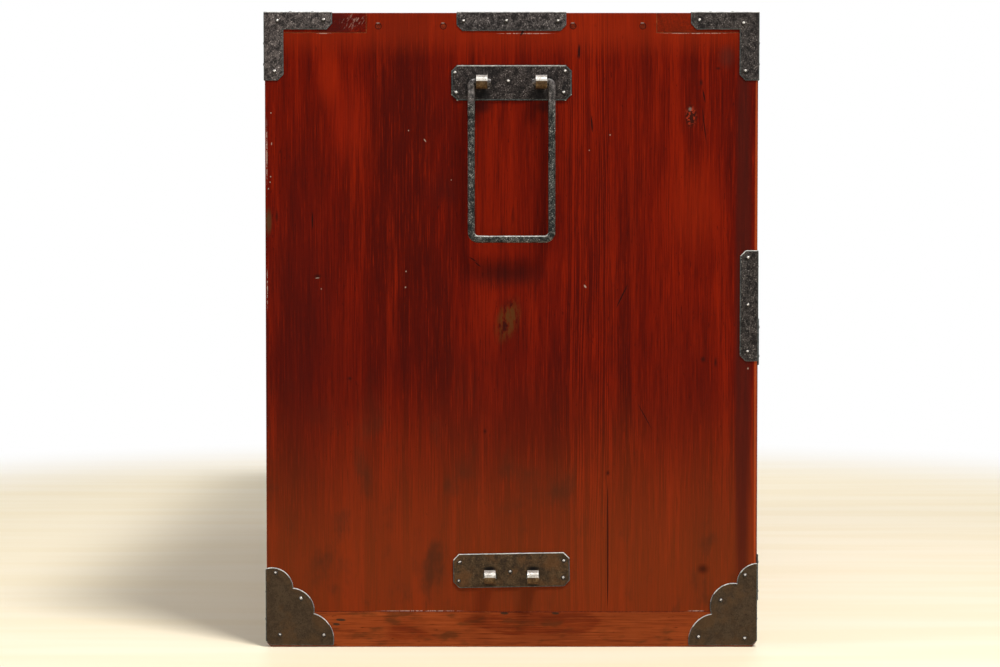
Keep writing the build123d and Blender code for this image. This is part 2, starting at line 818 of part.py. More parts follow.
for level, drawer in drawers.items():
    proud = drawer["proud"]
    low = drawer["floor"] + run_gap
    high = drawer["floor"] + drawer["height"] - head_gap
    half = inner_half - front_side_gap
    face = -half_depth - proud
    inner_face = front_inner_face(proud)
    rear = back_inner - back_gap
    side_inner = half - drawer_side_thick
    bottom_half = half - bottom_rabbet
    bottom_top = low + drawer_bottom_thick
    finger = (high - low) / finger_count
    side_fingers = [(low + step * finger, low + (step + 1) * finger) for step in range(0, finger_count, 2)]
    back_fingers = [(low + step * finger, low + (step + 1) * finger) for step in range(1, finger_count, 2)]
    lock_height = high - lock_below_top
    pull_height = high - pull_below_top
    pull_eyes_at = [
        end_place(-1, hand * pull_from_middle + eye, pull_height, proud)
        for hand in (-1, 1)
        for eye in (-pull_eye_half, pull_eye_half)
    ]

    iron_corners = [(side, up, side * half, high if up > 0 else low) for side in (-1, 1) for up in (-1, 1)]
    near_nail = drawer_iron_width / 2
    far_nail = drawer_iron_length - drawer_iron_tip_nail
    thin_nails = [
        end_place(-1, x - side * inward, z - up * along, proud + iron_thick)
        for side, up, x, z in iron_corners
        for inward, along in ((near_nail, near_nail), (far_nail, near_nail), (near_nail, far_nail))
    ]
    plate_nail_x = pull_plate_length / 2 - pull_nail_inset
    plate_nails = [
        end_place(-1, hand * pull_from_middle + inward, pull_height + up, proud + pull_plate_thick)
        for hand in (-1, 1)
        for inward in (-plate_nail_x, plate_nail_x)
        for up in (-pull_nail_rise, pull_nail_rise)
    ]
    lobe_nail = Vector(lock_lobe_offset + lock_lobe_radius - lobe_nail_inset, 0)
    lobe_nails = [lobe_nail.rotate(Axis.Z, lobe * 360 / lock_lobe_count) for lobe in range(lock_lobe_count)]
    lock_nails = [end_place(-1, spot.X, lock_height + spot.Y, proud + iron_thick) for spot in lobe_nails]
    nails = thin_nails + plate_nails + lock_nails

    with BuildPart() as drawer_front:
        block((-half, half), (face, inner_face), (low, high))
        fillet(drawer_front.faces().sort_by(Axis.Y)[0].edges(), front_round)
        block((-bottom_half, bottom_half), (inner_face - bottom_lap, inner_face), (low, bottom_top), Mode.SUBTRACT)
        for side in (-1, 1):
            for start, stop in side_fingers:
                block(
                    (side * side_inner, side * half),
                    (inner_face - finger_depth, inner_face),
                    (start, stop),
                    Mode.SUBTRACT,
                )
        cut_keyhole(lock_height, face, inner_face)
        drill_for_nails(nails)
        cut_eye_seats(pull_eyes_at, pull_eye_width, front_thick)
    save(drawer_front, f"{level}_drawer_front")

    for name, side in sides.items():
        with BuildPart() as drawer_side:
            block((side * side_inner, side * half), (inner_face, rear), (low, high))
            for start, stop in side_fingers:
                block((side * side_inner, side * half), (inner_face - finger_depth, inner_face), (start, stop))
            for start, stop in back_fingers:
                block(
                    (side * side_inner, side * half),
                    (rear - drawer_back_thick, rear),
                    (start, stop),
                    Mode.SUBTRACT,
                )
            block(
                (side * side_inner, side * bottom_half),
                (inner_face - finger_depth, rear),
                (low, bottom_top),
                Mode.SUBTRACT,
            )
            drill_for_nails(nails)
        save(drawer_side, f"{level}_drawer_side_{name}")

    with BuildPart() as drawer_back:
        block((-side_inner, side_inner), (rear - drawer_back_thick, rear), (bottom_top, high))
        for start, stop in back_fingers:
            block((-half, half), (rear - drawer_back_thick, rear), (start, stop))
    save(drawer_back, f"{level}_drawer_back")

    with BuildPart() as drawer_bottom:
        block((-bottom_half, bottom_half), (inner_face - bottom_lap, rear), (low, bottom_top))
    save(drawer_bottom, f"{level}_drawer_bottom")

    with BuildPart() as corner_irons:
        for side, up, x, z in iron_corners:
            arm = (drawer_iron_length, drawer_iron_width)
            with BuildSketch(Plane.XZ.offset(-face)):
                outline(corner_iron_points((x, z), (-side, -up), arm, arm))
            extrude(amount=iron_thick)
            if proud > lip_clearance:
                iron_lip(side, up, (x, z), face, proud)
        drill_for_nails(thin_nails)
    save(corner_irons, f"{level}_corner_irons")

    with BuildPart() as lock_plate:
        with BuildSketch(Plane.XZ.offset(-face)):
            with Locations((0, lock_height)):
                Circle(lock_plate_radius)
                with PolarLocations(lock_lobe_offset, lock_lobe_count):
                    Circle(lock_lobe_radius)
        extrude(amount=iron_thick)
        with BuildSketch(Plane.XZ.offset(-face)):
            with Locations((0, lock_height)):
                Circle(lock_boss_radius)
                Circle(lock_boss_bore, mode=Mode.SUBTRACT)
        extrude(amount=lock_boss_height)
        cut_keyhole(lock_height, face - lock_boss_height, face)
        drill_for_nails(lock_nails)
    save(lock_plate, f"{level}_lock_plate")

    with BuildPart() as lock_case:
        case_high = high - lock_case_below_top
        case_low = case_high - lock_case_height
        half_lock = lock_case_width / 2
        case_back = inner_face + lock_case_depth
        bolt_high = high - bolt_below_top
        bolt_low = bolt_high - bolt_length
        block((-half_lock, half_lock), (inner_face, case_back), (case_low, case_high))
        block(
            (-half_lock + lock_case_wall, half_lock - lock_case_wall),
            (inner_face + lock_case_wall, case_back - lock_case_wall),
            (case_low + lock_case_wall, case_high - lock_case_wall),
            Mode.SUBTRACT,
        )
        for side in (-1, 1):
            block(
                (side * (bolt_width / 2 - bolt_ledge), side * half_lock),
                (inner_face, case_back),
                (bolt_low - bolt_clearance - bolt_ledge_thick, bolt_low - bolt_clearance),
            )
        reach = bolt_thick / 2 + bolt_clearance
        slot_half = bolt_width / 2 + bolt_clearance
        middle = bolt_middle(proud)
        block(
            (-slot_half, slot_half),
            (middle - reach, middle + reach),
            (case_high - 2 * lock_case_wall, case_high),
            Mode.SUBTRACT,
        )
        cut_keyhole(lock_height, inner_face, inner_face + 2 * lock_case_wall)
    save(lock_case, f"{level}_lock_case")

    with BuildPart() as lock_bolt:
        block(
            (-bolt_width / 2, bolt_width / 2),
            (middle - bolt_thick / 2, middle + bolt_thick / 2),
            (bolt_low, bolt_high),
        )
        bolt_top_edges = lock_bolt.edges().filter_by(Axis.Y).group_by(Axis.Z)[-1]
        chamfer(bolt_top_edges, bolt_chamfer)
    save(lock_bolt, f"{level}_lock_bolt")

    with BuildPart() as pull_plates:
        for hand in (-1, 1):
            with BuildSketch(Plane.XZ.offset(-face)):
                with Locations((hand * pull_from_middle, pull_height)):
                    cut_plate(pull_plate_length, pull_plate_width, drawer_iron_cut)
            extrude(amount=pull_plate_thick)
        drill_for_nails(plate_nails)
        cut_eye_seats(pull_eyes_at, pull_eye_width, front_thick)
    save(pull_plates, f"{level}_pull_plates")

    with BuildPart() as pull_eyes:
        with Locations(*pull_eyes_at):
            add(pull_eye)
    save(pull_eyes, f"{level}_pull_eyes")

    with BuildPart() as drawer_nails:
        with Locations(*nails):
            add(nail.part)
    save(drawer_nails, f"{level}_drawer_nails")

    for name, side in sides.items():
        with BuildPart() as pull:
            with Locations(end_place(-1, side * pull_from_middle, pull_height, proud + pull_eye_standoff)):
                add(pull_bail)
        save(pull, f"{level}_pull_{name}")
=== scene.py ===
# %% [markdown]
# # Dressing an isho clothing chest
# The chest comes ready built: boards, irons, nails, drawers and handles, each a named piece with its own
# joints. This lesson gives every piece its finish, takes the machine edge off the boards and irons, and
# forges the nails, handles and drawer pulls. No piece changes place, so every joint still works.

import json
import math
import random

import bmesh
import bpy
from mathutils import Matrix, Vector, kdtree, noise

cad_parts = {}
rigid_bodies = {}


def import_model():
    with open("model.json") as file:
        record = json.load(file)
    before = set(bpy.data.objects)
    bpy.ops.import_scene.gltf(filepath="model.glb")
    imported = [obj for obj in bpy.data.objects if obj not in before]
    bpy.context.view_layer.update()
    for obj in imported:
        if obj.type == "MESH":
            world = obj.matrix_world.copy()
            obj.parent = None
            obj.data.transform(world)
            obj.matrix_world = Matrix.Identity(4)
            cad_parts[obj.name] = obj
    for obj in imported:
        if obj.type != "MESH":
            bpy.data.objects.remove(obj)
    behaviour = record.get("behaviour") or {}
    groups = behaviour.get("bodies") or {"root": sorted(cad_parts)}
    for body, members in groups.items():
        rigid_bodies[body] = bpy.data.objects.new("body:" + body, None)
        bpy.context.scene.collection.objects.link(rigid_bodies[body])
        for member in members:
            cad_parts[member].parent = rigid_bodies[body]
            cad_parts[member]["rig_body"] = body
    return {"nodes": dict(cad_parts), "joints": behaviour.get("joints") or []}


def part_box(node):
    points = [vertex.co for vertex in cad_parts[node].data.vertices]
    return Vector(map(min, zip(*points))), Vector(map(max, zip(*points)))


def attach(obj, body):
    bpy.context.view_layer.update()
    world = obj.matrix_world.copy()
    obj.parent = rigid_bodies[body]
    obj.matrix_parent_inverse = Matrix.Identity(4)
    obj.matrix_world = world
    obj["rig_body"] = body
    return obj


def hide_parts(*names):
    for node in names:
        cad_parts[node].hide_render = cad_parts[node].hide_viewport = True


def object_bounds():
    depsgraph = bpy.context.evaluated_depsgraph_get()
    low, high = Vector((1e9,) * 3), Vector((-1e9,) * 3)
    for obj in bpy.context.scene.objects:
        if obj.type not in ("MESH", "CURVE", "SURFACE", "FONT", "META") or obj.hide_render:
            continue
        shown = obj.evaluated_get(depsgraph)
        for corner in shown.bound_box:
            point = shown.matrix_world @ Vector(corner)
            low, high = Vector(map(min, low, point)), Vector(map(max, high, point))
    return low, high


for leftover in list(bpy.data.objects):
    bpy.data.objects.remove(leftover)
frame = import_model()
cad_low, cad_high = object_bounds()
MM = 0.001
overall = [round((high - low) / MM) for low, high in zip(cad_low, cad_high)]
print(len(frame["nodes"]), "pieces, overall size in mm:", overall)

# %% [markdown]
# ## Where things are
# The sizes that the finishes need are read from the chest's own pieces instead of being typed in again:
# the outer face of the end boards, the depth, the top, and the pins that the handles and pulls turn on.
# So a forged handle always hangs on its pin. Two words serve the whole chest: it has a left and a right
# end, and an upper and a lower drawer.

# %% Read the chest's own sizes
SIDES = {"left": -1, "right": 1}
LEVELS = ("upper", "lower")
nodes = frame["nodes"]
home = {node: piece["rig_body"] for node, piece in nodes.items()}
pin_of = {joint["child"]: joint["pos_m"] for joint in frame["joints"] if joint["type"] == "hinge"}
END_FACE, HALF_DEPTH, WOOD_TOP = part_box("side_board_right")[1]
print("end face, half depth and top in mm:", [round(v / MM, 1) for v in (END_FACE, HALF_DEPTH, WOOD_TOP)])
print("pins of", ", ".join(sorted(pin_of)))

# %% [markdown]
# ## A kit for node trees
# Materials and Geometry Nodes are both trees of nodes. Adding a node, setting it and linking it takes many
# lines, so one helper does all three: give it plain values or other nodes' outputs and it fills or links
# each input. Colours are written as on a paint chart, because that is how a maker matches a finish.

# %% Helpers that add a node, start a finish and write a colour
def put(tree, kind, inputs=(), **settings):
    """Adds a node, applies its settings, then fills each input with a value or links it to another output."""
    made = tree.nodes.new(kind)
    for name, value in settings.items():
        setattr(made, name, value)
    for name, value in dict(inputs).items():
        if isinstance(value, bpy.types.NodeSocket):
            tree.links.new(value, made.inputs[name])
        else:
            made.inputs[name].default_value = value
    return made


def blank_finish(name):
    """A new material, with its node tree and the Principled shader that stands in it."""
    material = bpy.data.materials.new(name)
    material.use_nodes = True
    return material, material.node_tree, material.node_tree.nodes["Principled BSDF"]


def tone(red, green, blue):
    """A colour in the 0-255 numbers of a paint chart, as the linear numbers that a shader works with."""
    parts = [value / 255 for value in (red, green, blue)]
    return (*[v / 12.92 if v <= 0.04045 else ((v + 0.055) / 1.055) ** 2.4 for v in parts], 1.0)


print("lacquer red in linear numbers:", [round(v, 4) for v in tone(96, 12, 0)])

# %% [markdown]
# ## Steps that patterns are made of
# Patterns are made from a few small steps: noise, stretching space, squeezing a value into a range, sums,
# and blending two colours. Each step below hands back one output, so the steps can be nested like sums.

# %% Pattern steps
HALVES = (0.5, 0.5, 0.5)


def stretched(tree, place, scale, shift=(0, 0, 0)):
    inputs = {"Vector": place, "Location": shift, "Scale": scale}
    return put(tree, "ShaderNodeMapping", inputs).outputs["Vector"]


def cloud(tree, place, scale=1.0, detail=3.0, rough=0.55):
    inputs = {"Vector": place, "Scale": scale, "Detail": detail, "Roughness": rough}
    return put(tree, "ShaderNodeTexNoise", inputs).outputs["Fac"]


def eased(tree, value, low, high, to_low=0.0, to_high=1.0):
    """A value eased from one range into another; a low above the high turns it round."""
    inputs = {"Value": value, "From Min": low, "From Max": high, "To Min": to_low, "To Max": to_high}
    return put(tree, "ShaderNodeMapRange", inputs, interpolation_type="SMOOTHSTEP").outputs["Result"]


def reckon(tree, how, first, second=0.0):
    return put(tree, "ShaderNodeMath", {0: first, 1: second}, operation=how).outputs[0]


def on_vectors(tree, how, first, second=(0, 0, 0)):
    """Vector maths; a length or a dot product comes back as one number."""
    result = "Value" if how in ("LENGTH", "DOT_PRODUCT") else "Vector"
    return put(tree, "ShaderNodeVectorMath", {0: first, 1: second}, operation=how).outputs[result]


def blend(tree, amount, first, second):
    inputs = {0: amount, 6: first, 7: second}
    return put(tree, "ShaderNodeMix", inputs, data_type="RGBA").outputs[2]


# %% [markdown]
# Knots, stains and dirt are all soft ovals laid on a board. An oval is the distance from its middle, measured
# in its own half sizes. It could be a Mapping node and a length, but a shader has only a little room for
# values that wait for their turn, and dozens of Mapping nodes fill it, after which the piece renders
# black. Vector maths right before the length keeps almost nothing waiting.

# %% A soft oval
def spot(tree, place, centre, half_size, turn=0.0, core=0.2):
    """1 in the middle of a soft oval, 0 outside it. The oval lies in a board's face, turned about X."""
    inside = on_vectors(tree, "SUBTRACT", place, centre)
    if turn:
        deep, wide, tall = half_size
        axes = ((1 / deep, 0, 0), (0, math.cos(turn) / wide, math.sin(turn) / wide),
                (0, -math.sin(turn) / tall, math.cos(turn) / tall))
        along = [on_vectors(tree, "DOT_PRODUCT", inside, axis) for axis in axes]
        inside = put(tree, "ShaderNodeCombineXYZ", dict(zip("XYZ", along))).outputs["Vector"]
    else:
        inside = on_vectors(tree, "DIVIDE", inside, half_size)
    return eased(tree, on_vectors(tree, "LENGTH", inside), 1.0, core)


# %% [markdown]
# ## Wood
# The boards are softwood under a red-brown lacquer that lets the grain show. Wood printed on the surface
# would slide or repeat, so the grain is a solid pattern instead, cut through by each face. First every
# board gets its own stretch of the tree: its grain is turned on to one axis and slid along by a number of
# its own, and loose planks of one piece are slid a little further.

# %% A board's own stretch of the tree
TREE_HALF_LENGTH = 9.0
PLANK_SLIDE = 4.0


def along_the_grain(tree, order, seed):
    """The place on the chest, the same place with the grain on Z, and a number of each plank's own."""
    whole_place = put(tree, "ShaderNodeTexCoord").outputs["Object"]
    axes = put(tree, "ShaderNodeSeparateXYZ", {"Vector": whole_place}).outputs
    place = put(tree, "ShaderNodeCombineXYZ", {axis: axes[axis] for axis in "XYZ"}).outputs["Vector"]
    swapped = {to: axes[axis] for to, axis in zip("XYZ", order)}
    turned = put(tree, "ShaderNodeCombineXYZ", swapped).outputs["Vector"]
    slide = random.Random(seed).uniform(-TREE_HALF_LENGTH, TREE_HALF_LENGTH)
    plank = put(tree, "ShaderNodeNewGeometry").outputs["Random Per Island"]
    further = {"Z": reckon(tree, "MULTIPLY", plank, PLANK_SLIDE)}
    shift = put(tree, "ShaderNodeCombineXYZ", further).outputs["Vector"]
    own = on_vectors(tree, "ADD", turned, shift)
    return place, stretched(tree, own, (1, 1, 1), (0, 0, slide)), plank


# %% [markdown]
# Growth rings are the distance from a heart line somewhere behind the board, counted in ring widths. They
# give straight lines on the face and curved ones on the end grain by themselves. A slow sway keeps the
# lines from being ruled, and an uneven count makes wide and narrow years.

# %% Growth rings
SWAY = 0.012
UNEVEN_YEARS = 5.0


def growth_rings(tree, grain, heart, ring_width):
    """1 on the dark latewood edge of each ring, 0 in the pale wood between."""
    slow = {"Vector": stretched(tree, grain, (4, 4, 0.9)), "Detail": 2.0}
    sway = put(tree, "ShaderNodeTexNoise", slow).outputs["Color"]
    drift = on_vectors(tree, "SUBTRACT", sway, HALVES)
    sized = put(tree, "ShaderNodeVectorMath", {0: drift, "Scale": SWAY}, operation="SCALE").outputs[0]
    swayed = on_vectors(tree, "ADD", grain, sized)
    flat = stretched(tree, swayed, (1, 1, 0), (-heart[0], -heart[1], 0))
    rings = reckon(tree, "DIVIDE", on_vectors(tree, "LENGTH", flat), ring_width)
    by_year = {"W": rings, "Scale": 0.37, "Detail": 3.0}
    uneven = put(tree, "ShaderNodeTexNoise", by_year, noise_dimensions="1D").outputs["Fac"]
    count = reckon(tree, "ADD", rings, reckon(tree, "MULTIPLY", uneven, UNEVEN_YEARS))
    step = reckon(tree, "FRACT", count)
    late = reckon(tree, "MULTIPLY", eased(tree, step, 0.25, 0.92), eased(tree, step, 1.0, 0.93))
    return reckon(tree, "MULTIPLY", late, eased(tree, uneven, 0.3, 0.62, 0.25, 1.0))


# %% [markdown]
# Between the rings the wood has slow clouds, streaks, fibres and pores. All are one kind of noise, drawn out
# along the grain by different amounts. The colour is built as a dyer would, in thin layers: each pattern
# pulls it a little towards the dark or the bright tone, and none covers the last one wholly.

# %% Wood patterns and their colour
def wood_patterns(tree, grain):
    """Each is noise, squeezed across the grain and drawn out along it."""
    broad = cloud(tree, stretched(tree, grain, (13, 13, 2.6)), 1.0, 4.0, 0.6)
    streak = cloud(tree, stretched(tree, grain, (85, 85, 3.4)), 1.0, 5.0, 0.68)
    fibre = cloud(tree, stretched(tree, grain, (700, 700, 20)), 1.0, 3.0, 0.75)
    pores = cloud(tree, stretched(tree, grain, (480, 480, 110)), 1.0, 2.0, 0.6)
    return broad, streak, fibre, pores


def wood_colour(tree, patterns, rings, lines, tight, tones):
    """lines are the rings where the grain is tight; between them the same wood is a little brighter."""
    broad, streak, fibre, pores = patterns
    dark, middle, bright = tones

    def layered(colour, pattern, low, high, share, over):
        return blend(tree, eased(tree, pattern, low, high, 0.0, share), colour, over)

    colour = blend(tree, eased(tree, broad, 0.34, 0.56, 0.25, 1.0), dark, middle)
    colour = layered(colour, broad, 0.54, 0.72, 0.55, bright)
    colour = layered(colour, streak, 0.50, 0.70, 0.62, bright)
    colour = layered(colour, streak, 0.50, 0.32, 0.62, dark)
    colour = blend(tree, reckon(tree, "MULTIPLY", lines, 0.62), colour, dark)
    pale_line = reckon(tree, "MULTIPLY", tight, eased(tree, rings, 0.12, 0.0, 0.0, 0.45))
    colour = blend(tree, pale_line, colour, bright)
    colour = layered(colour, fibre, 0.50, 0.66, 0.7, dark)
    colour = layered(colour, fibre, 0.48, 0.32, 0.55, bright)
    return layered(colour, pores, 0.66, 0.74, 0.7, dark)


# %% [markdown]
# A finish is the tree that turns those patterns into colour, gloss and a little relief. Lacquer is a
# clear coat over the coloured wood, which the Principled shader has as its Coat. The coat stays smooth
# while the wood below it keeps its fibres, so each gets a bump of its own.

# %% The wood finish
def lay_on_lacquer(tree, shader, grain, coat):
    """A clear coat with the long low waves that a brush leaves."""
    waves = cloud(tree, stretched(tree, grain, (60, 60, 14)), 1.0, 3.0, 0.6)
    flow = put(tree, "ShaderNodeBump", {"Height": waves, "Distance": 0.12 * MM, "Strength": 0.6})
    tree.links.new(flow.outputs["Normal"], shader.inputs["Coat Normal"])
    shader.inputs["Coat Weight"].default_value = coat
    shader.inputs["Coat Roughness"].default_value = 0.17
    shader.inputs["Coat IOR"].default_value = 1.12


def wood_finish(name, order, heart, seed, tones, ring_width=3.4 * MM, coat=0.6, rough=0.45, uneven=0.0,
                marks=None, straight=None):
    """uneven darkens some planks of a piece; straight says where the grain is tight, or slow noise does."""
    material, tree, shader = blank_finish(name)
    place, grain, plank = along_the_grain(tree, order, seed)
    rings = growth_rings(tree, grain, heart, ring_width)
    patterns = wood_patterns(tree, grain)
    _, streak, fibre, _ = patterns
    if straight:
        tight = straight(tree, place)
    else:
        tight = eased(tree, cloud(tree, stretched(tree, grain, (6, 6, 0.3))), 0.46, 0.62, 0.15, 0.9)
    lines = reckon(tree, "MULTIPLY", rings, tight)
    colour = wood_colour(tree, patterns, rings, lines, tight, tones)
    colour = blend(tree, reckon(tree, "MULTIPLY", plank, uneven), colour, tones[0])
    height = reckon(tree, "ADD", reckon(tree, "MULTIPLY", lines, -0.5), reckon(tree, "MULTIPLY", fibre, -0.5))
    if marks:
        colour, height = marks(tree, place, colour, height)
    tree.links.new(colour, shader.inputs["Base Color"])
    tree.links.new(eased(tree, streak, 0.3, 0.7, rough - 0.05, rough + 0.09), shader.inputs["Roughness"])
    relief = put(tree, "ShaderNodeBump", {"Height": height, "Distance": 0.06 * MM, "Strength": 0.8})
    tree.links.new(relief.outputs["Normal"], shader.inputs["Normal"])
    shader.inputs["Specular IOR Level"].default_value = 0.03 if coat else 0.15
    if coat:
        lay_on_lacquer(tree, shader, grain, coat)
    return material


# %% [markdown]
# ## The marks of a long life
# The left side board has knots, a brown scar, small cracks, specks and a seam low down where two planks
# meet. They are placed one by one, because a random sprinkling never looks like one particular board. Each
# row is an oval: its middle along the depth and up, its half sizes, and for some the angle it is turned by.

# %% Knots, cracks and specks on the left side board, in millimetres
KNOTS = [(-175.5, 264.9, 3.6, 4.2), (177.3, 341.0, 5.0, 3.4), (148.0, 247.5, 2.8, 2.4),
         (24.3, 198.9, 2.2, 3.2), (-88.4, 160.4, 2.6, 3.6), (-187.0, 262.0, 2.4, 7.0),
         (214.5, 396.0, 2.2, 8.0), (-176.0, 72.0, 8.0, 7.0), (-188.4, 530.5, 3.4, 2.2),
         (-173.0, 517.5, 2.6, 4.4)]
CRACKS = [(-61.6, 545.8, 1.5, 8.6, 0.0), (-73.3, 480.0, 1.1, 9.5, -0.08), (-100.9, 322.5, 0.8, 15.0, 0.45),
          (35.3, 356.5, 0.7, 5.0, -1.0), (31.0, 352.0, 0.7, 5.0, -0.9), (-9.6, 562.7, 1.4, 4.0, 0.5),
          (-122.0, 213.0, 0.5, 17.0, -0.5), (182.0, 392.0, 0.8, 10.0, 0.0),
          (-176.0, 478.0, 0.7, 22.0, -0.12), (-175.5, 505.5, 0.9, 7.5, -0.2),
          (-132.8, 572.0, 0.7, 9.5, 0.0), (132.0, 572.0, 0.7, 9.5, 0.0)]
GLINTS = [(-67.4, 331.8, 1.0, 2.2, -0.6), (-216.7, 256.6, 0.8, 1.2, 0.0), (219.0, 549.0, 0.7, 0.8, 0.0),
          (218.5, 526.0, 0.7, 0.8, 0.0), (219.5, 490.0, 0.7, 0.9, 0.0), (219.0, 462.0, 0.6, 1.6, 0.0),
          (220.0, 432.0, 0.7, 0.8, 0.0), (220.5, 427.0, 0.7, 0.8, 0.0), (222.0, 421.0, 0.7, 0.8, 0.0),
          (177.5, 339.5, 2.4, 0.5, -0.1), (174.0, 329.5, 0.7, 0.8, 0.0), (96.5, 345.5, 0.8, 0.9, 0.0),
          (97.0, 331.0, 0.8, 0.9, 0.0), (79.0, 465.0, 0.7, 2.2, -0.6), (55.0, 429.0, 0.6, 0.7, 0.0),
          (94.0, 474.0, 0.7, 0.8, 0.0), (-90.0, 470.0, 0.8, 0.9, 0.0), (-71.0, 456.0, 0.6, 0.7, 0.0)]
print(len(KNOTS), "knots,", len(CRACKS), "cracks and", len(GLINTS), "pale specks")

# %% [markdown]
# Wood that has stood for a century is worn pale at some edges and dark where hands, soot and damp got at it.
# The pale lines along the joints under the tails and over the batten are painted highlights, where an edge
# catches the light, broken up by grit; two pale scuffs run down the back edge. The pegs hold the box joint
# of the top, and each has a dark eye and a painted highlight on its upper rim. A stain is one more oval,
# with the size of its full core, its strength and its colour; four of the stains are painted light.

# %% Edge highlights, scuffs, pegs and stains on the left side board, in millimetres
EDGE_HIGHLIGHTS_AND_SCUFFS = [(84.0, 33.3, 46.0, 0.6), (-170.0, 33.3, 9.0, 0.6), (-168.0, 562.4, 36.0, 0.55),
           (171.0, 562.4, 8.0, 0.6), (-12.0, 562.2, 30.0, 0.5), (223.4, 455.0, 0.6, 34.0),
           (223.4, 330.0, 0.5, 22.0)]
PEGS_Y = (121.3, 62.2, -56.1, -119.6)
PEG_EYES = [(y, 568.9, 3.5, 3.5) for y in PEGS_Y]
PEG_RIM_HIGHLIGHTS = [(y + 0.4, 571.7, 2.2, 0.75) for y in PEGS_Y]
STAINS_AND_PAINTED_LIGHT = [(-212, 300, 9.5, 420, 0.45, 0.72, tone(60, 18, 12)),
          # Painted highlight: the orange line down the front edge, where its rounding catches the light.
          (-223.6, 300, 1.5, 330, 0.6, 0.7, tone(170, 74, 34)),
          (190, 285, 62, 230, 0.0, 0.5, tone(58, 10, 5)), (20, 250, 80, 130, 0.0, 0.3, tone(62, 12, 4)),
          (-34, 208, 66, 56, 0.1, 0.34, tone(72, 10, 1)), (122, 262, 84, 74, 0.1, 0.3, tone(58, 8, 2)),
          # The second oval on the next line is painted shadow of the handle's bar, mixed with dirt.
          (-152, 240, 62, 100, 0.1, 0.36, tone(74, 11, 2)), (4, 343, 52, 17, 0.0, 0.62, tone(34, 7, 5)),
          (62, 420, 26, 26, 0.0, 0.35, tone(50, 10, 6)), (148, 480, 26, 62, 0.0, 0.32, tone(150, 34, 9)),
          (-166, 405, 40, 62, 0.1, 0.28, tone(156, 40, 8)),
          (222.0, 391.0, 4.0, 16.0, 0.2, 0.6, tone(70, 62, 36)),
          # The ovals at 27 and -29 along the depth, 496 up, on the next two lines, are painted shade under
          # the handle plate.
          (-196, 541, 10, 15, 0.2, 0.5, tone(66, 30, 22)), (27, 496, 13, 9, 0.2, 0.6, tone(26, 5, 4)),
          (-29, 496, 12, 9, 0.2, 0.6, tone(26, 5, 4)), (166, 524, 15, 42, 0.2, 0.4, tone(158, 38, 6))]
print(len(EDGE_HIGHLIGHTS_AND_SCUFFS), "scrapes,", len(PEGS_Y), "pegs and", len(STAINS_AND_PAINTED_LIGHT), "stains")

# %% [markdown]
# A brush keeps the colour that it paints on, so each mark is one short line. It works on the left end of the
# chest only: an oval is just deep enough to colour the end's surface and no piece further in. Many
# small ovals of one colour are first joined in one mask, which costs a single layer of colour.

# %% A brush for the left end
MARK_DEPTH = 20 * MM


class Brush:
    """Lays stains on a colour; an oval is placed in millimetres along the chest's depth and up."""

    def __init__(self, tree, place, colour):
        self.tree = tree
        self.place = place
        self.colour = colour

    def oval(self, y, z, half_y, half_z, turn=0.0, core=0.2):
        centre = (-END_FACE, y * MM, z * MM)
        return spot(self.tree, self.place, centre, (MARK_DEPTH, half_y * MM, half_z * MM), turn, core)

    def ovals(self, rows, core):
        whole = 0.0
        for row in rows:
            whole = reckon(self.tree, "MAXIMUM", whole, self.oval(*row, core=core))
        return whole

    def speckle(self, scale, detail, rough):
        """Noise for marks that are torn, smudged or gritty."""
        return cloud(self.tree, stretched(self.tree, self.place, scale), 1.0, detail, rough)

    def both(self, first, second):
        """Where two masks overlap, or one mask made weaker."""
        return reckon(self.tree, "MULTIPLY", first, second)

    def stain(self, where, share, stain):
        self.colour = blend(self.tree, self.both(where, share), self.colour, stain)


# %% [markdown]
# Low down the board turns a lighter brown: painted light, for the warm light that the pale floor throws up on
# the lacquer. Near the top it turns a lighter red. These two run up the board, and the stains lie over them.
# In the middle of the scar the lacquer is torn off, and beside the top corner sits a small burl with gritty
# grain and a small painted highlight.

# %% Old lacquer with painted floor light, scar and burl
def old_lacquer_and_painted_light(brush):
    tree = brush.tree
    up = put(tree, "ShaderNodeSeparateXYZ", {"Vector": brush.place}).outputs["Z"]
    # Painted light: a lighter brown towards the bottom, for the floor's warm light on the lacquer.
    brush.stain(eased(tree, up, 0.27, 0.055), 0.45, tone(136, 62, 24))
    brush.stain(eased(tree, up, 0.535, 0.565), 0.3, tone(158, 46, 14))
    smudge = eased(tree, brush.speckle((1, 24, 13), 4.0, 0.6), 0.52, 0.72)
    brush.stain(brush.both(smudge, eased(tree, up, 0.30, 0.08)), 0.75, tone(62, 34, 18))
    for y, z, half_y, half_z, core, share, stain in STAINS_AND_PAINTED_LIGHT:
        brush.stain(brush.oval(y, z, half_y, half_z, 0.0, core), share, stain)


def scar_and_burl(brush):
    """Hands back the burl, which lies below the surface, and the grit that other chips share."""
    tree = brush.tree
    scar = brush.oval(3.2, 301.5, 13.0, 27.0, 0.3, 0.3)
    torn = brush.speckle((1, 190, 75), 4.0, 0.65)
    brush.stain(brush.both(scar, eased(tree, torn, 0.42, 0.6)), 1.0, tone(82, 44, 16))
    brush.stain(brush.both(scar, eased(tree, torn, 0.5, 0.4)), 0.8, tone(34, 11, 5))
    burl = brush.oval(-163.6, 487.0, 6.8, 12.5, 0.0, 0.45)
    grit = brush.speckle((1, 520, 420), 2.0, 0.6)
    brush.stain(burl, 0.9, tone(44, 16, 8))
    brush.stain(brush.both(burl, eased(tree, grit, 0.5, 0.62)), 0.9, tone(150, 44, 22))
    # Painted highlight: a small pale spot on the upper side of the burl.
    brush.stain(brush.oval(-163.0, 493.5, 2.2, 2.4), 0.8, tone(112, 104, 96))
    return burl, grit


# %% [markdown]
# The small marks come last, over the stains, as they did on the real board. Whatever is a hollow also goes
# into the height, so that light catches its edge: cracks are deepest, and knots barely sink.

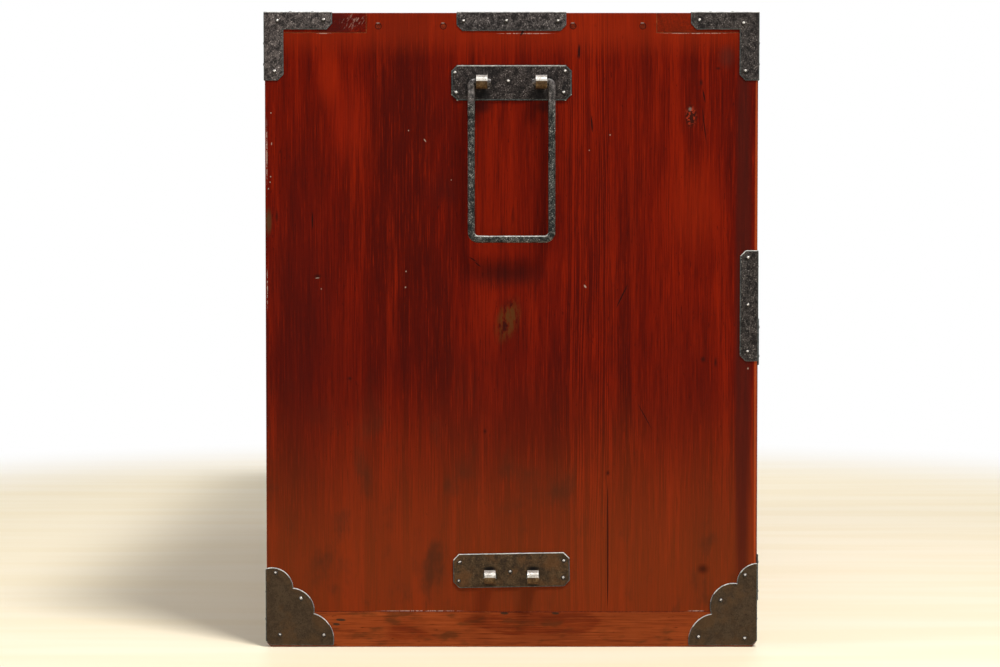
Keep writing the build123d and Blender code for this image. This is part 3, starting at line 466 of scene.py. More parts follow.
# %% All marks of the left side board
def side_board_marks(tree, place, colour, height):
    brush = Brush(tree, place, colour)
    old_lacquer_and_painted_light(brush)
    burl, grit = scar_and_burl(brush)
    # Painted highlights along the joints' edges, and pale scuffs on the back edge, broken up by grit.
    highlights_and_scuffs = brush.both(brush.ovals(EDGE_HIGHLIGHTS_AND_SCUFFS, 0.5), eased(tree, grit, 0.40, 0.55))
    brush.stain(highlights_and_scuffs, 0.8, tone(176, 152, 140))
    brush.stain(brush.ovals(PEG_EYES, 0.75), 0.85, tone(30, 8, 6))
    # Painted highlight on each peg's upper rim.
    brush.stain(brush.ovals(PEG_RIM_HIGHLIGHTS, 0.4), 0.75, tone(150, 128, 118))
    knots = brush.ovals(KNOTS, 0.0)
    brush.stain(knots, 0.75, tone(30, 9, 5))
    cracks = brush.ovals(CRACKS, 0.4)
    brush.stain(cracks, 0.9, tone(18, 7, 5))
    brush.stain(brush.ovals(GLINTS, 0.4), 0.85, tone(172, 148, 134))
    seam = brush.oval(-88.4, 93.0, 0.8, 62.0, 0.0, 0.8)
    brush.stain(seam, 0.8, tone(24, 9, 5))
    for hollow, depth in ((burl, 2.0), (knots, 1.0), (cracks, 3.0), (seam, 2.0)):
        height = reckon(tree, "SUBTRACT", height, brush.both(hollow, depth))
    return brush.colour, height


def side_board_straight(tree, place):
    """The tight straight grain a little towards the front from the middle, and a weaker one beyond it."""
    def band(y, half):
        return spot(tree, place, (-END_FACE, y * MM, 0.31), (1.0, half * MM, 3.0), 0.0, 0.45)

    tight = reckon(tree, "MAXIMUM", band(-70, 30), reckon(tree, "MULTIPLY", band(-150, 90), 0.26))
    return reckon(tree, "MAXIMUM", tight, 0.07)


# %% [markdown]
# The top board shows at the chest's end as two tails of the box joint. They are end grain, which drinks more
# lacquer and scuffs easily: the back one is dark with pale scratches that lean, the front one paler.
# The batten below the side board has chips along its upper edge and old smudges on its face.

# %% Marks of the top's tails and of the battens
SCRATCH_LEAN = -0.52
BATTEN_CHIPS = ((6.5, 31.2, 4.6), (-40.5, 31.2, 4.2), (157.0, 25.0, 5.5), (161.0, 21.0, 4.0))


def tail_marks(tree, place, colour, height):
    brush = Brush(tree, place, colour)
    brush.stain(brush.oval(158, 572, 30, 12, 0.0, 0.5), 0.6, tone(60, 16, 14))
    brush.stain(brush.oval(-160, 572, 60, 14, 0.0, 0.5), 0.17, tone(150, 58, 26))
    leaning = put(tree, "ShaderNodeMapping", {"Vector": place, "Rotation": (SCRATCH_LEAN, 0, 0)})
    scratch = cloud(tree, stretched(tree, leaning.outputs["Vector"], (1, 900, 190)), 1.0, 2.0, 0.6)
    where = brush.both(brush.oval(146, 573, 17, 9, 0.0, 0.5), eased(tree, scratch, 0.58, 0.66))
    brush.stain(where, 0.5, tone(170, 134, 122))
    return brush.colour, height


def batten_marks(tree, place, colour, height):
    brush = Brush(tree, place, colour)
    brush.stain(eased(tree, brush.speckle((1, 30, 90), 3.0, 0.6), 0.50, 0.68), 0.6, tone(66, 38, 18))
    for y, z, half in BATTEN_CHIPS:
        brush.stain(brush.oval(y, z, half, 1.5, 0.06, 0.6), 0.85, tone(40, 38, 28))
    brush.stain(brush.oval(0, 32.6, 230, 0.7, 0.0, 0.6), 0.85, tone(26, 10, 6))
    return brush.colour, height


# %% [markdown]
# ## The boards of the case
# One finish function now gives every board its own piece of the tree. The order of the axes says which way
# the grain runs: across the face, into the board, then along the grain. What shows is lacquered, and the
# back, the shelf and the hidden rail are bare and aged. Each set of tones is dark, middle and bright.

# %% Finishes of the case's boards
LACQUER = (tone(60, 6, 1), tone(96, 12, 0), tone(136, 28, 2))
RAIL_LACQUER = (tone(48, 8, 3), tone(78, 14, 3), tone(112, 27, 6))
BATTEN_LACQUER = (tone(84, 28, 10), tone(126, 50, 18), tone(156, 76, 34))
BARE = (tone(74, 42, 22), tone(120, 78, 46), tone(146, 100, 62))
PEG = (tone(66, 18, 8), tone(112, 34, 14), tone(140, 54, 24))
UNCOATED = {"coat": 0.0, "rough": 0.7}

board_finish = {
    "side_board_left": wood_finish("lacquered side, left", "YXZ", (0.9, -1.1), 3, LACQUER,
                                   marks=side_board_marks, straight=side_board_straight),
    "side_board_right": wood_finish("lacquered side, right", "YXZ", (-0.30, 0.45), 4, LACQUER),
    "top_board": wood_finish("lacquered top", "YZX", (0.05, 0.50), 5, LACQUER, marks=tail_marks),
    "bottom_board": wood_finish("lacquered bottom", "YZX", (0.02, -0.05), 6, LACQUER),
}
for side, sign in SIDES.items():
    batten = wood_finish(f"batten, {side}", "ZXY", (-0.03, 0.50), 7 + sign, BATTEN_LACQUER,
                         marks=batten_marks)
    board_finish[f"base_batten_{side}"] = batten
for number, rail in enumerate(("base_rail_front", "middle_rail")):
    plain_name = rail.replace("_", " ")
    board_finish[rail] = wood_finish(plain_name, "ZYX", (0.20, -0.15), 11 + number, RAIL_LACQUER)
board_finish["base_rail_back"] = wood_finish("bare rail", "ZYX", (0.1, 0.1), 14, BARE, **UNCOATED)
board_finish["shelf_board"] = wood_finish("bare shelf", "YZX", (0.05, 0.2), 15, BARE, **UNCOATED)
board_finish["back_boards"] = wood_finish("bare back", "XYZ", (0.1, 0.15), 16, BARE, uneven=0.5, **UNCOATED)
board_finish["wood_pegs"] = wood_finish("pegs", "YZX", (0.0, 0.57), 17, PEG, ring_width=1.2 * MM)
print(len(board_finish), "boards of the case have a finish")

# %% [markdown]
# ## The boards of the drawers
# Only a drawer's front is lacquered. Its box is pale paulownia, a light wood that swells shut in damp air and
# keeps the clothes dry, and it is left bare inside and out.

# %% Finishes of the drawers' boards
PAULOWNIA = (tone(128, 92, 58), tone(178, 138, 94), tone(200, 164, 120))
DRAWER_BOX = {"coat": 0.0, "rough": 0.6}


def drawer_finishes(level, number):
    """The front, the sides, the back and the floor of one drawer, each from its own part of the tree."""
    heart = (0.31 - 0.2 * number, -0.12)
    front = wood_finish(f"lacquered {level} drawer front", "ZYX", heart, 21 + number, LACQUER)
    box = wood_finish(f"paulownia {level} sides", "ZXY", (0.1, 0.3), 24 + number, PAULOWNIA, **DRAWER_BOX)
    back = wood_finish(f"paulownia {level} back", "ZYX", (0.1, 0.1), 27 + number, PAULOWNIA, **DRAWER_BOX)
    floor = wood_finish(f"paulownia {level} floor", "YZX", (0.0, 0.3), 30 + number, PAULOWNIA, **DRAWER_BOX)
    return {"front": front, "side_left": box, "side_right": box, "back": back, "bottom": floor}


for number, level in enumerate(LEVELS):
    for board, finish in drawer_finishes(level, number).items():
        board_finish[f"{level}_drawer_{board}"] = finish
print(len(board_finish), "boards have a finish")

# %% [markdown]
# ## Iron
# The fittings are hand-forged iron, browned and oiled, with scale, pits and worn bright grains. Two sizes of
# noise make the mottle, a sharp threshold on the finer one picks out the grains that catch the light, and
# the shade round the eyes is painted on as dark ovals. The chest's ends are alike, so the painted shade is
# placed once, on coordinates that are mirrored to all four quarters.

# %% Iron's colour
SCALE_BLACK = tone(16, 12, 11)
PAINTED_SHADE_TONE = tone(9, 7, 6)


def iron_colour(tree, blotch, fine, tones, grain_share):
    """Mottled from dark to light, with bright grains over it and dark pits over those."""
    dark, light, grains = tones
    grainy = reckon(tree, "ADD", reckon(tree, "MULTIPLY", blotch, 0.5), reckon(tree, "MULTIPLY", fine, 0.5))
    colour = blend(tree, eased(tree, grainy, 0.42, 0.58), dark, light)
    sharp = eased(tree, fine, grain_share, grain_share + 0.12)
    bright_grain = reckon(tree, "MULTIPLY", sharp, eased(tree, blotch, 0.4, 0.6))
    colour = blend(tree, bright_grain, colour, grains)
    pits = eased(tree, fine, 0.42, 0.3)
    return blend(tree, reckon(tree, "MULTIPLY", pits, 0.6), colour, SCALE_BLACK)


def with_painted_shade(tree, chest, colour, painted_shade):
    """Painted shade: each row is a dark oval in millimetres, the same at both ends and on both sides of the
    middle.
    """
    mirrored = on_vectors(tree, "ABSOLUTE", chest)
    for y, z, half_y, half_z, share in painted_shade:
        half_size = (MARK_DEPTH, half_y * MM, half_z * MM)
        shade_mask = spot(tree, mirrored, (END_FACE, y * MM, z * MM), half_size, 0.0, 0.3)
        colour = blend(tree, reckon(tree, "MULTIPLY", shade_mask, share), colour, PAINTED_SHADE_TONE)
    return colour


# %% [markdown]
# Under the colour the iron is a little metallic, rougher where the scale is dark, and uneven: soft cells make
# the flats that a hammer leaves, and the mottle's own noise gives the scale its thickness.

# %% The iron finish
HAMMER_FLATS = 130.0
FINER = 4.6
RUST_PATCHES = 48.0


def iron_finish(name, tones, seed, rough=0.5, mottle=170.0, hammer=0.5, grain_share=0.58, metal=0.35,
                rust=None, painted_shade=()):
    """tones are dark, light and the bright grains; rust is one more tone, in slow patches."""
    material, tree, shader = blank_finish(name)
    chest = put(tree, "ShaderNodeTexCoord").outputs["Object"]
    place = stretched(tree, chest, (1, 1, 1), (0.37 * seed, 0.11 * seed, 0.0))
    blotch = cloud(tree, place, mottle, 5.0, 0.66)
    fine = cloud(tree, place, mottle * FINER, 3.0, 0.7)
    cells = {"Vector": place, "Scale": HAMMER_FLATS, "Smoothness": 0.8}
    flats = put(tree, "ShaderNodeTexVoronoi", cells, feature="SMOOTH_F1").outputs["Distance"]
    colour = iron_colour(tree, blotch, fine, tones, grain_share)
    if rust:
        patches = eased(tree, cloud(tree, place, RUST_PATCHES, 4.0, 0.65), 0.46, 0.66, 0.0, 0.6)
        colour = blend(tree, patches, colour, rust)
    # Painted shade round the eyes.
    if painted_shade:
        colour = with_painted_shade(tree, chest, colour, painted_shade)
    tree.links.new(colour, shader.inputs["Base Color"])
    tree.links.new(eased(tree, blotch, 0.3, 0.7, rough + 0.1, rough - 0.08), shader.inputs["Roughness"])
    shader.inputs["Metallic"].default_value = metal
    shader.inputs["Specular IOR Level"].default_value = 0.15
    hammered = reckon(tree, "MULTIPLY", flats, hammer)
    height = reckon(tree, "ADD", hammered, reckon(tree, "MULTIPLY", fine, 0.55))
    height = reckon(tree, "ADD", height, reckon(tree, "MULTIPLY", blotch, 0.6))
    relief = put(tree, "ShaderNodeBump", {"Height": height, "Distance": 0.35 * MM, "Strength": 0.7})
    tree.links.new(relief.outputs["Normal"], shader.inputs["Normal"])
    return material


# %% [markdown]
# The plates differ as they do on an old chest. Those at the back corners are worn grey, those at the front
# and round the handle are nearly black, and the feet and the lower plates are brown near the floor, partly
# from rust and partly as a painted reflection of the pale floor. They differ in little but tones, rust and
# painted shade, so one function makes them all.

# %% Irons of the plates
PLATE_TONES = (tone(18, 15, 14), tone(58, 51, 48), tone(176, 166, 160))
# Painted shade: dark ovals round the eyes of the handle and hook plates. They stand where the eyes and the
# handle throw their shadow, and where a slot lies in shade.
HANDLE_PAINTED_SHADE = ((25.0, 506.5, 11.0, 8.0, 0.8), (38.0, 512.0, 7.0, 12.0, 0.5))
HOOK_PAINTED_SHADE = ((19.7, 72.6, 7.5, 3.0, 0.95), (19.7, 57.5, 8.0, 3.4, 0.6))
SHEET = {"mottle": 200.0}
NEAR_FLOOR = {"rough": 0.42, "hammer": 0.25}

worn_iron = iron_finish("worn iron", (tone(34, 31, 30), tone(92, 84, 81), tone(200, 190, 184)), 1, **SHEET)
strap_iron = iron_finish("strap iron", (tone(24, 21, 20), tone(76, 70, 68), tone(200, 190, 186)), 14, **SHEET)
dark_iron = iron_finish("dark iron", (tone(20, 17, 16), tone(64, 58, 55), tone(176, 168, 162)), 15, **SHEET)
plate_iron = iron_finish("plate iron", PLATE_TONES, 2, **SHEET)
handle_iron = iron_finish("handle plate iron", PLATE_TONES, 2, painted_shade=HANDLE_PAINTED_SHADE, **SHEET)
# Painted reflection: the brown tones of these two irons stand partly for the pale floor seen in them. The
# slow patches are rust.
rust_and_floor_reflection_iron = iron_finish("browned iron", (tone(54, 42, 30), tone(70, 56, 41), tone(104, 84, 62)), 3,
                         grain_share=0.66, rust=tone(80, 57, 34), **NEAR_FLOOR)
hook_iron = iron_finish("hook plate iron", (tone(48, 37, 26), tone(76, 59, 40), tone(118, 100, 78)), 16,
                        grain_share=0.6, rust=tone(92, 60, 32), painted_shade=HOOK_PAINTED_SHADE, **NEAR_FLOOR)
lock_iron = iron_finish("lock iron", (tone(52, 45, 39), tone(86, 75, 66), tone(150, 140, 130)), 12,
                        rough=0.46)
print(len(bpy.data.materials), "finishes, those of the plates included")

# %% [markdown]
# Bars, eyes and nails are touched more than plates. Each has its own iron and a second, much brighter one,
# a painted highlight for the faces that look up. A filed edge is cleaner than the face beside it, and an
# upper edge gets a painted highlight.

# %% Irons of bars, eyes, edges and nails
bar_iron = iron_finish("handle iron", (tone(12, 15, 14), tone(72, 72, 68), tone(192, 188, 182)), 4,
                       rough=0.4, mottle=230.0, grain_share=0.55)
# A lighter, smoother iron for the top of each handle.
upper_bar_iron = iron_finish("hand-worn handle iron",
                            (tone(38, 36, 35), tone(104, 99, 97), tone(196, 190, 186)), 13,
                            rough=0.36, mottle=240.0)
# Painted highlight for the bars' faces that look up.
bar_highlight = iron_finish("rubbed handle iron",
                         (tone(110, 112, 108), tone(176, 174, 168), tone(226, 222, 216)), 5,
                         rough=0.34, mottle=230.0)
eye_iron = iron_finish("eye iron", (tone(66, 48, 30), tone(100, 78, 52), tone(150, 130, 104)), 6, rough=0.4)
# Painted highlight for the eyes' upper side.
eye_highlight = iron_finish("rubbed eye iron", (tone(150, 144, 136), tone(206, 200, 192), tone(236, 232, 226)),
                         7, rough=0.3)
edge_iron = iron_finish("filed edge", (tone(52, 60, 60), tone(86, 94, 94), tone(150, 152, 150)), 8,
                        rough=0.4, metal=0.1)
# Painted highlight for the filed edges that look up.
edge_highlight = iron_finish("rubbed edge", (tone(168, 170, 168), tone(212, 212, 208), tone(240, 240, 236)), 9,
                          rough=0.4, metal=0.1)
nail_iron = iron_finish("nail iron", (tone(34, 31, 29), tone(66, 61, 58), tone(110, 104, 98)), 10,
                        rough=0.3, mottle=420.0, hammer=0.1)
# Painted highlight for the crown of each nail head.
nail_crown_highlight = iron_finish("rubbed nail crown",
                          (tone(168, 162, 156), tone(212, 207, 200), tone(240, 236, 230)), 11,
                          rough=0.28, mottle=420.0, hammer=0.1)
print(len(bpy.data.materials), "finishes so far")

# %% [markdown]
# ## Where the nails are
# Every iron is held by domed nails. Their places are read from the chest itself: each loose part of a nail
# piece is one nail, its long axis is the shank, and its head points away from the middle of the chest.
# They are found first, because a later step must not round off the nail holes.

# %% Take a mesh apart into its loose parts
MERGE = 0.002 * MM


def loose_parts(mesh):
    """The places of the vertices of each separate part of a mesh."""
    shape = bmesh.new()
    shape.from_mesh(mesh)
    bmesh.ops.remove_doubles(shape, verts=shape.verts, dist=MERGE)
    waiting = set(shape.verts)
    parts = []
    while waiting:
        front = [waiting.pop()]
        part = []
        while front:
            vert = front.pop()
            part.append(vert.co.copy())
            for edge in vert.link_edges:
                other = edge.other_vert(vert)
                if other in waiting:
                    waiting.remove(other)
                    front.append(other)
        parts.append(part)
    shape.free()
    return parts


# %% [markdown]
# A nail's seat is where the underside of its head meets the iron. A search tree of all seats then answers
# quickly how far any point of the chest is from the nearest nail, and which nail that is.

# %% Find the nails
BUILT_HEAD_HEIGHT = 1.5 * MM
NAIL_NODES = ["case_nails"] + [f"{level}_drawer_nails" for level in LEVELS]


def nail_seats(node):
    """For each nail: the middle of its head's underside, and the way the head points."""
    seats = []
    for part in loose_parts(nodes[node].data):
        low = Vector([min(p[axis] for p in part) for axis in range(3)])
        high = Vector([max(p[axis] for p in part) for axis in range(3)])
        shank = max(range(3), key=lambda axis: high[axis] - low[axis])
        middle = (low + high) / 2
        outward = Vector((0, 0, 0))
        outward[shank] = math.copysign(1.0, middle[shank])
        crown = (high if outward[shank] > 0 else low)[shank]
        seat = middle.copy()
        seat[shank] = crown - outward[shank] * BUILT_HEAD_HEIGHT
        seats.append((seat, outward))
    return sorted(seats, key=lambda seat: tuple(round(v, 5) for v in seat[0]))


seats_of = {node: nail_seats(node) for node in NAIL_NODES}
all_seats = [seat for seats in seats_of.values() for seat, _ in seats]
all_ways = [way for seats in seats_of.values() for _, way in seats]
nail_map = kdtree.KDTree(len(all_seats))
for number, seat in enumerate(all_seats):
    nail_map.insert(seat, number)
nail_map.balance()
print(len(all_seats), "nails found")

# %% [markdown]
# ## Softened edges
# A computer-drawn edge is a perfect corner, and no plane or file leaves one. So each board and iron is
# copied and its edges are bevelled by about half a millimetre. The copy then stands in for the piece it
# was made from: it rides on the same body, and the first one is hidden.

# %% Give a finished copy its place
def take_over(piece, node, *finishes):
    """Hands a finished copy its place: same body, and the piece it was made from is hidden."""
    for finish in finishes:
        piece.data.materials.append(finish)
    bpy.context.scene.collection.objects.link(piece)
    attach(piece, home[node])
    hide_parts(node)


def plain_shading(mesh):
    """Drops the normals that came with the built mesh, so that light follows the new faces."""
    for name in ("custom_normal", "sharp_face", "sharp_edge"):
        if name in mesh.attributes:
            mesh.attributes.remove(mesh.attributes[name])


# %% [markdown]
# A built mesh is loose triangles, so they are first merged into whole faces; otherwise every triangle's side
# would count as an edge. Then only worn edges are chosen: sharp, outward ones that are long enough on a
# board, and on sheet iron the whole outer rim, but neither the nail holes nor the side on the wood.

# %% Choose the edges that wear
FLAT_ANGLE = math.radians(0.4)
SHARP_ANGLE = 0.5
ON_WOOD = 0.1 * MM
NAIL_CLEAR = 2.4 * MM


def merged_shape(node):
    shape = bmesh.new()
    shape.from_mesh(nodes[node].data)
    bmesh.ops.remove_doubles(shape, verts=shape.verts, dist=MERGE)
    bmesh.ops.dissolve_limit(shape, angle_limit=FLAT_ANGLE, verts=shape.verts, edges=shape.edges)
    for face in shape.faces:
        face.material_index = 0
    return shape


def is_arris(edge, shortest):
    """A sharp outer edge that is long enough to be worn."""
    if len(edge.link_faces) != 2 or edge.calc_length() < shortest or not edge.is_convex:
        return False
    return edge.calc_face_angle() > SHARP_ANGLE


def stands_proud(node):
    """How far the drawer front that an iron sits on stands out from the case; 0 for the case itself."""
    level = node.split("_")[0]
    if level not in LEVELS:
        return 0.0
    return max(0.0, -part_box(f"{level}_drawer_front")[0].y - HALF_DEPTH)


def is_rim(edge, proud):
    """The outer rim of a sheet iron: clear of the wood behind it and not round a nail hole."""
    at = (edge.verts[0].co + edge.verts[1].co) / 2
    within_depth = -HALF_DEPTH - ON_WOOD - proud < at.y < HALF_DEPTH + ON_WOOD
    on_wood = abs(at.x) < END_FACE + ON_WOOD and within_depth and at.z < WOOD_TOP + ON_WOOD
    return not on_wood and nail_map.find(at)[2] > NAIL_CLEAR


print("lower drawer stands proud by", round(stands_proud("lower_drawer_front") / MM, 1), "mm")

# %% [markdown]
# The bevel could be a modifier, but a bevel in bmesh takes exactly the chosen edges and can give its own
# faces another material, which a filed rim needs. Faces that look up can get a brighter material still, a
# painted highlight.

# %% Soften a piece's edges
LOOKS_UP = 0.15
SMOOTH_ANGLE = math.radians(38)


def give_highlight(mesh, slot, next_slot, least):
    """Faces of one slot that look up get the next one, a painted highlight where upper faces catch the light.
    """
    for face in mesh.polygons:
        if face.material_index == slot and face.normal.z > least:
            face.material_index = next_slot


def softened(node, by, finishes, shortest=15 * MM, rim_only=False, smooth=False, highlight_from=None):
    """Bevels a copy by so much, with one finish, or one for faces and one for edges, and a third, a painted
    highlight, for edges that look up. Given a level, the second is a painted highlight for faces that look up
    more than that."""
    shape = merged_shape(node)
    proud = stands_proud(node)
    arrises = [edge for edge in shape.edges
               if is_arris(edge, shortest) and (not rim_only or is_rim(edge, proud))]
    edge_slot = 1 if len(finishes) > 1 and highlight_from is None else 0
    bmesh.ops.bevel(shape, geom=arrises, offset=by, segments=2, profile=0.6, affect="EDGES",
                    clamp_overlap=not rim_only, material=edge_slot)
    mesh = bpy.data.meshes.new(node + "_dressed")
    shape.to_mesh(mesh)
    shape.free()
    plain_shading(mesh)
    mesh.shade_flat()
    if smooth:
        mesh.shade_smooth()
        mesh.set_sharp_from_angle(angle=SMOOTH_ANGLE)
    take_over(bpy.data.objects.new(node + "_dressed", mesh), node, *finishes)
    # Faces that look up get a painted highlight.
    if highlight_from is not None:
        give_highlight(mesh, 0, 1, highlight_from)
    if len(finishes) == 3:
        give_highlight(mesh, 1, 2, LOOKS_UP)
    return len(arrises), len(mesh.polygons)


# %% [markdown]
# Worn lacquer is thinnest on the arris, where the wood shines through in a lighter brown. The lacquered
# boards and the rails therefore get that tone on their bevels; the shelf, the back and the drawers' boxes
# keep their own. The pegs come later, with the other small pieces.

# %% Soften the boards
WORN_ARRIS = (tone(70, 18, 9), tone(118, 44, 20), tone(156, 84, 44))
OWN_EDGES = ("bare shelf", "bare back", "paulownia")
edge_lacquer = wood_finish("worn lacquer edge", "YZX", (0.2, 0.7), 40, WORN_ARRIS)

for node, finish in board_finish.items():
    if node != "wood_pegs":
        finishes = [finish] if finish.name.startswith(OWN_EDGES) else [finish, edge_lacquer]
        print(node, "edges, faces:", softened(node, 0.45 * MM, finishes))

# %% [markdown]
# ## Irons on the case and drawers
# The irons are cut from sheet about a millimetre thick and then filed, which leaves a bright, slightly
# rounded rim. The bevel's own faces therefore get a second material, a cleaner iron, and those that look
# up a third, a painted highlight. Irons of one kind share a finish, so they are listed in groups.

# %% Soften the plates
back_corners = [f"top_corner_iron_back_{side}" for side in SIDES]
top_straps = [f"top_edge_strap_{side}" for side in SIDES]
front_irons = [f"{kind}_{side}" for kind in ("top_corner_iron_front", "front_edge_strap") for side in SIDES]
handle_plates = [f"handle_plate_{side}" for side in SIDES]
drawer_plates = [f"{level}_{kind}" for level in LEVELS
                 for kind in ("corner_irons", "lock_plate", "pull_plates")]
foot_irons = [f"foot_corner_iron_{end}_{side}" for end in ("front", "back") for side in SIDES]
hook_plates = [f"hook_plate_{side}" for side in SIDES]
plate_groups = ((back_corners, worn_iron), (top_straps, strap_iron), (front_irons, dark_iron),
                (handle_plates, handle_iron), (drawer_plates, plate_iron), (foot_irons, rust_and_floor_reflection_iron),
                (hook_plates, hook_iron))
for group, finish in plate_groups:
    for node in group:
        edges_and_faces = softened(node, 0.7 * MM, [finish, edge_iron, edge_highlight], 0.1 * MM, rim_only=True)
        print(node, "edges, faces:", edges_and_faces)

# %% [markdown]
# The eyes that hold the handles and pulls are bent straps, not cut sheet, so they are shaded smooth, and
# their upper side gets a painted highlight. The lock's case and bolt are plain filed blocks. The pegs are cut
# off flush and too small to be rounded, so they only get their finish.

# %% Soften the eyes and the locks, and finish the pegs
for node in ["strap_eyes"] + [f"{level}_pull_eyes" for level in LEVELS]:
    eye = softened(node, 0.4 * MM, [eye_iron, eye_highlight], shortest=2 * MM, smooth=True, highlight_from=0.12)
    print(node, "edges, faces:", eye)
for level in LEVELS:
    for kind in ("lock_case", "lock_bolt"):
        block = softened(f"{level}_{kind}", 0.3 * MM, [lock_iron], shortest=4 * MM)
        print(level, kind, "edges, faces:", block)
pegs = softened("wood_pegs", 0.1 * MM, [board_finish["wood_pegs"]], shortest=30 * MM)
print("wood_pegs edges, faces:", pegs)

# %% [markdown]
# ## Nails
# A nail is a domed head, here a flattened ball, on a tapered shank. It is hammered by hand, so no two sit
# quite alike. Geometry Nodes is the tool for that: it puts one nail on each seat and gives each its own
# tip and size from a fixed seed. One tree serves the case and both drawers.

# %% One nail, and how each is turned and sized
SHANK_TIP = 0.3 * MM


def one_nail(tree, given):
    ball = put(tree, "GeometryNodeMeshUVSphere", {"Segments": 12, "Rings": 8, "Radius": 1.0})
    girth = {"X": given["Head radius"], "Y": given["Head radius"], "Z": given["Head height"]}
    flat = put(tree, "ShaderNodeCombineXYZ", girth).outputs["Vector"]
    head = put(tree, "GeometryNodeTransform", {"Geometry": ball.outputs["Mesh"], "Scale": flat})
    cone = {"Vertices": 8, "Radius Top": SHANK_TIP, "Radius Bottom": given["Shank radius"],
            "Depth": given["Shank length"]}
    shank = put(tree, "GeometryNodeMeshCone", cone)
    inward = {"Geometry": shank.outputs["Mesh"], "Rotation": (math.pi, 0, 0)}
    turned = put(tree, "GeometryNodeTransform", inward)
    nail = put(tree, "GeometryNodeJoinGeometry")
    tree.links.new(head.outputs["Geometry"], nail.inputs["Geometry"])
    tree.links.new(turned.outputs["Geometry"], nail.inputs["Geometry"])
    return nail.outputs["Geometry"]


def by_hand(tree, seed):
    """Each nail's turn, along the way its head points but tipped a little, and its size."""
    outward = put(tree, "GeometryNodeInputNamedAttribute", {"Name": "outward"}, data_type="FLOAT_VECTOR")
    aim = put(tree, "FunctionNodeAlignRotationToVector", {"Vector": outward.outputs["Attribute"]}, axis="Z")
    tip_range = {"Min": (-0.09, -0.09, -3.1), "Max": (0.09, 0.09, 3.1), "Seed": seed}
    tip = put(tree, "FunctionNodeRandomValue", tip_range, data_type="FLOAT_VECTOR")
    tip_turn = put(tree, "FunctionNodeEulerToRotation", {"Euler": tip.outputs["Value"]})
    both = {"Rotation": aim.outputs["Rotation"], "Rotate By": tip_turn.outputs["Rotation"]}
    turn = put(tree, "FunctionNodeRotateRotation", both, rotation_space="LOCAL")
    size_range = {"Min": (0.86, 0.86, 0.8), "Max": (1.0, 1.0, 1.0), "Seed": seed}
    size = put(tree, "FunctionNodeRandomValue", size_range, data_type="FLOAT_VECTOR")
    return turn.outputs["Rotation"], size.outputs["Value"]


# %% [markdown]
# The rest of the tree plants the nails and makes them real geometry, because instances would be lost when the
# chest is exported. Noise then dents them, each in its own way, since it is read at the nail's place.

# %% A tree that forges nails
def dented(tree, geometry, depth):
    place = put(tree, "GeometryNodeInputPosition").outputs["Position"]
    wear = put(tree, "ShaderNodeTexNoise", {"Vector": place, "Scale": 260.0, "Detail": 0.0}).outputs["Color"]
    centred = on_vectors(tree, "SUBTRACT", wear, HALVES)
    dents = put(tree, "ShaderNodeVectorMath", {0: centred, "Scale": depth}, operation="SCALE").outputs[0]
    return put(tree, "GeometryNodeSetPosition", {"Geometry": geometry, "Offset": dents}).outputs["Geometry"]


def nail_forge(iron):
    tree = bpy.data.node_groups.new("forged nails", "GeometryNodeTree")
    tree.interface.new_socket("Geometry", in_out="INPUT", socket_type="NodeSocketGeometry")
    for label in ("Head radius", "Head height", "Shank radius", "Shank length", "Dents"):
        tree.interface.new_socket(label, in_out="INPUT", socket_type="NodeSocketFloat")
    tree.interface.new_socket("Seed", in_out="INPUT", socket_type="NodeSocketInt")
    tree.interface.new_socket("Geometry", in_out="OUTPUT", socket_type="NodeSocketGeometry")
    given = put(tree, "NodeGroupInput").outputs
    nail = one_nail(tree, given)
    turn, size = by_hand(tree, given["Seed"])
    planted = {"Points": given["Geometry"], "Instance": nail, "Rotation": turn, "Scale": size}
    many = put(tree, "GeometryNodeInstanceOnPoints", planted)
    real = put(tree, "GeometryNodeRealizeInstances", {"Geometry": many.outputs["Instances"]})
    shape = dented(tree, real.outputs["Geometry"], given["Dents"])
    smooth = put(tree, "GeometryNodeSetShadeSmooth", {"Geometry": shape}).outputs["Geometry"]
    coloured = put(tree, "GeometryNodeSetMaterial", {"Geometry": smooth, "Material": iron})
    put(tree, "NodeGroupOutput", {"Geometry": coloured.outputs["Geometry"]})
    return tree


forge = nail_forge(nail_iron)
print(len(forge.nodes), "nodes forge a nail")

# %% [markdown]
# The case and each drawer keep their own nails, because they move apart. For each, the seats become the
# points of a small mesh that carries the way each head points, the tree runs on it, and its result is kept
# as a plain mesh. The crown of a head gets a painted highlight on the side that faces out and up.

# %% Plant the nails of the case and of each drawer
NAIL_SIZES = {"Head radius": 2.2 * MM, "Head height": 1.42 * MM, "Shank radius": 0.95 * MM,
              "Shank length": 11.5 * MM, "Dents": 0.10 * MM, "Seed": 8}
CROWN = 0.92


def planter_of(node):
    """Points at the seats, with the nail forge on them."""
    points = bpy.data.meshes.new(node + "_seats")
    points.from_pydata([seat for seat, _ in seats_of[node]], [], [])
    outward = points.attributes.new("outward", "FLOAT_VECTOR", "POINT")
    for number, (_, way) in enumerate(seats_of[node]):
        outward.data[number].vector = way
    planter = bpy.data.objects.new(node + "_planter", points)
    bpy.context.scene.collection.objects.link(planter)
    modifier = planter.modifiers.new("nails", "NODES")
    modifier.node_group = forge
    for item in forge.interface.items_tree:
        if item.in_out == "INPUT" and item.name in NAIL_SIZES:
            modifier[item.identifier] = NAIL_SIZES[item.name]
    return planter


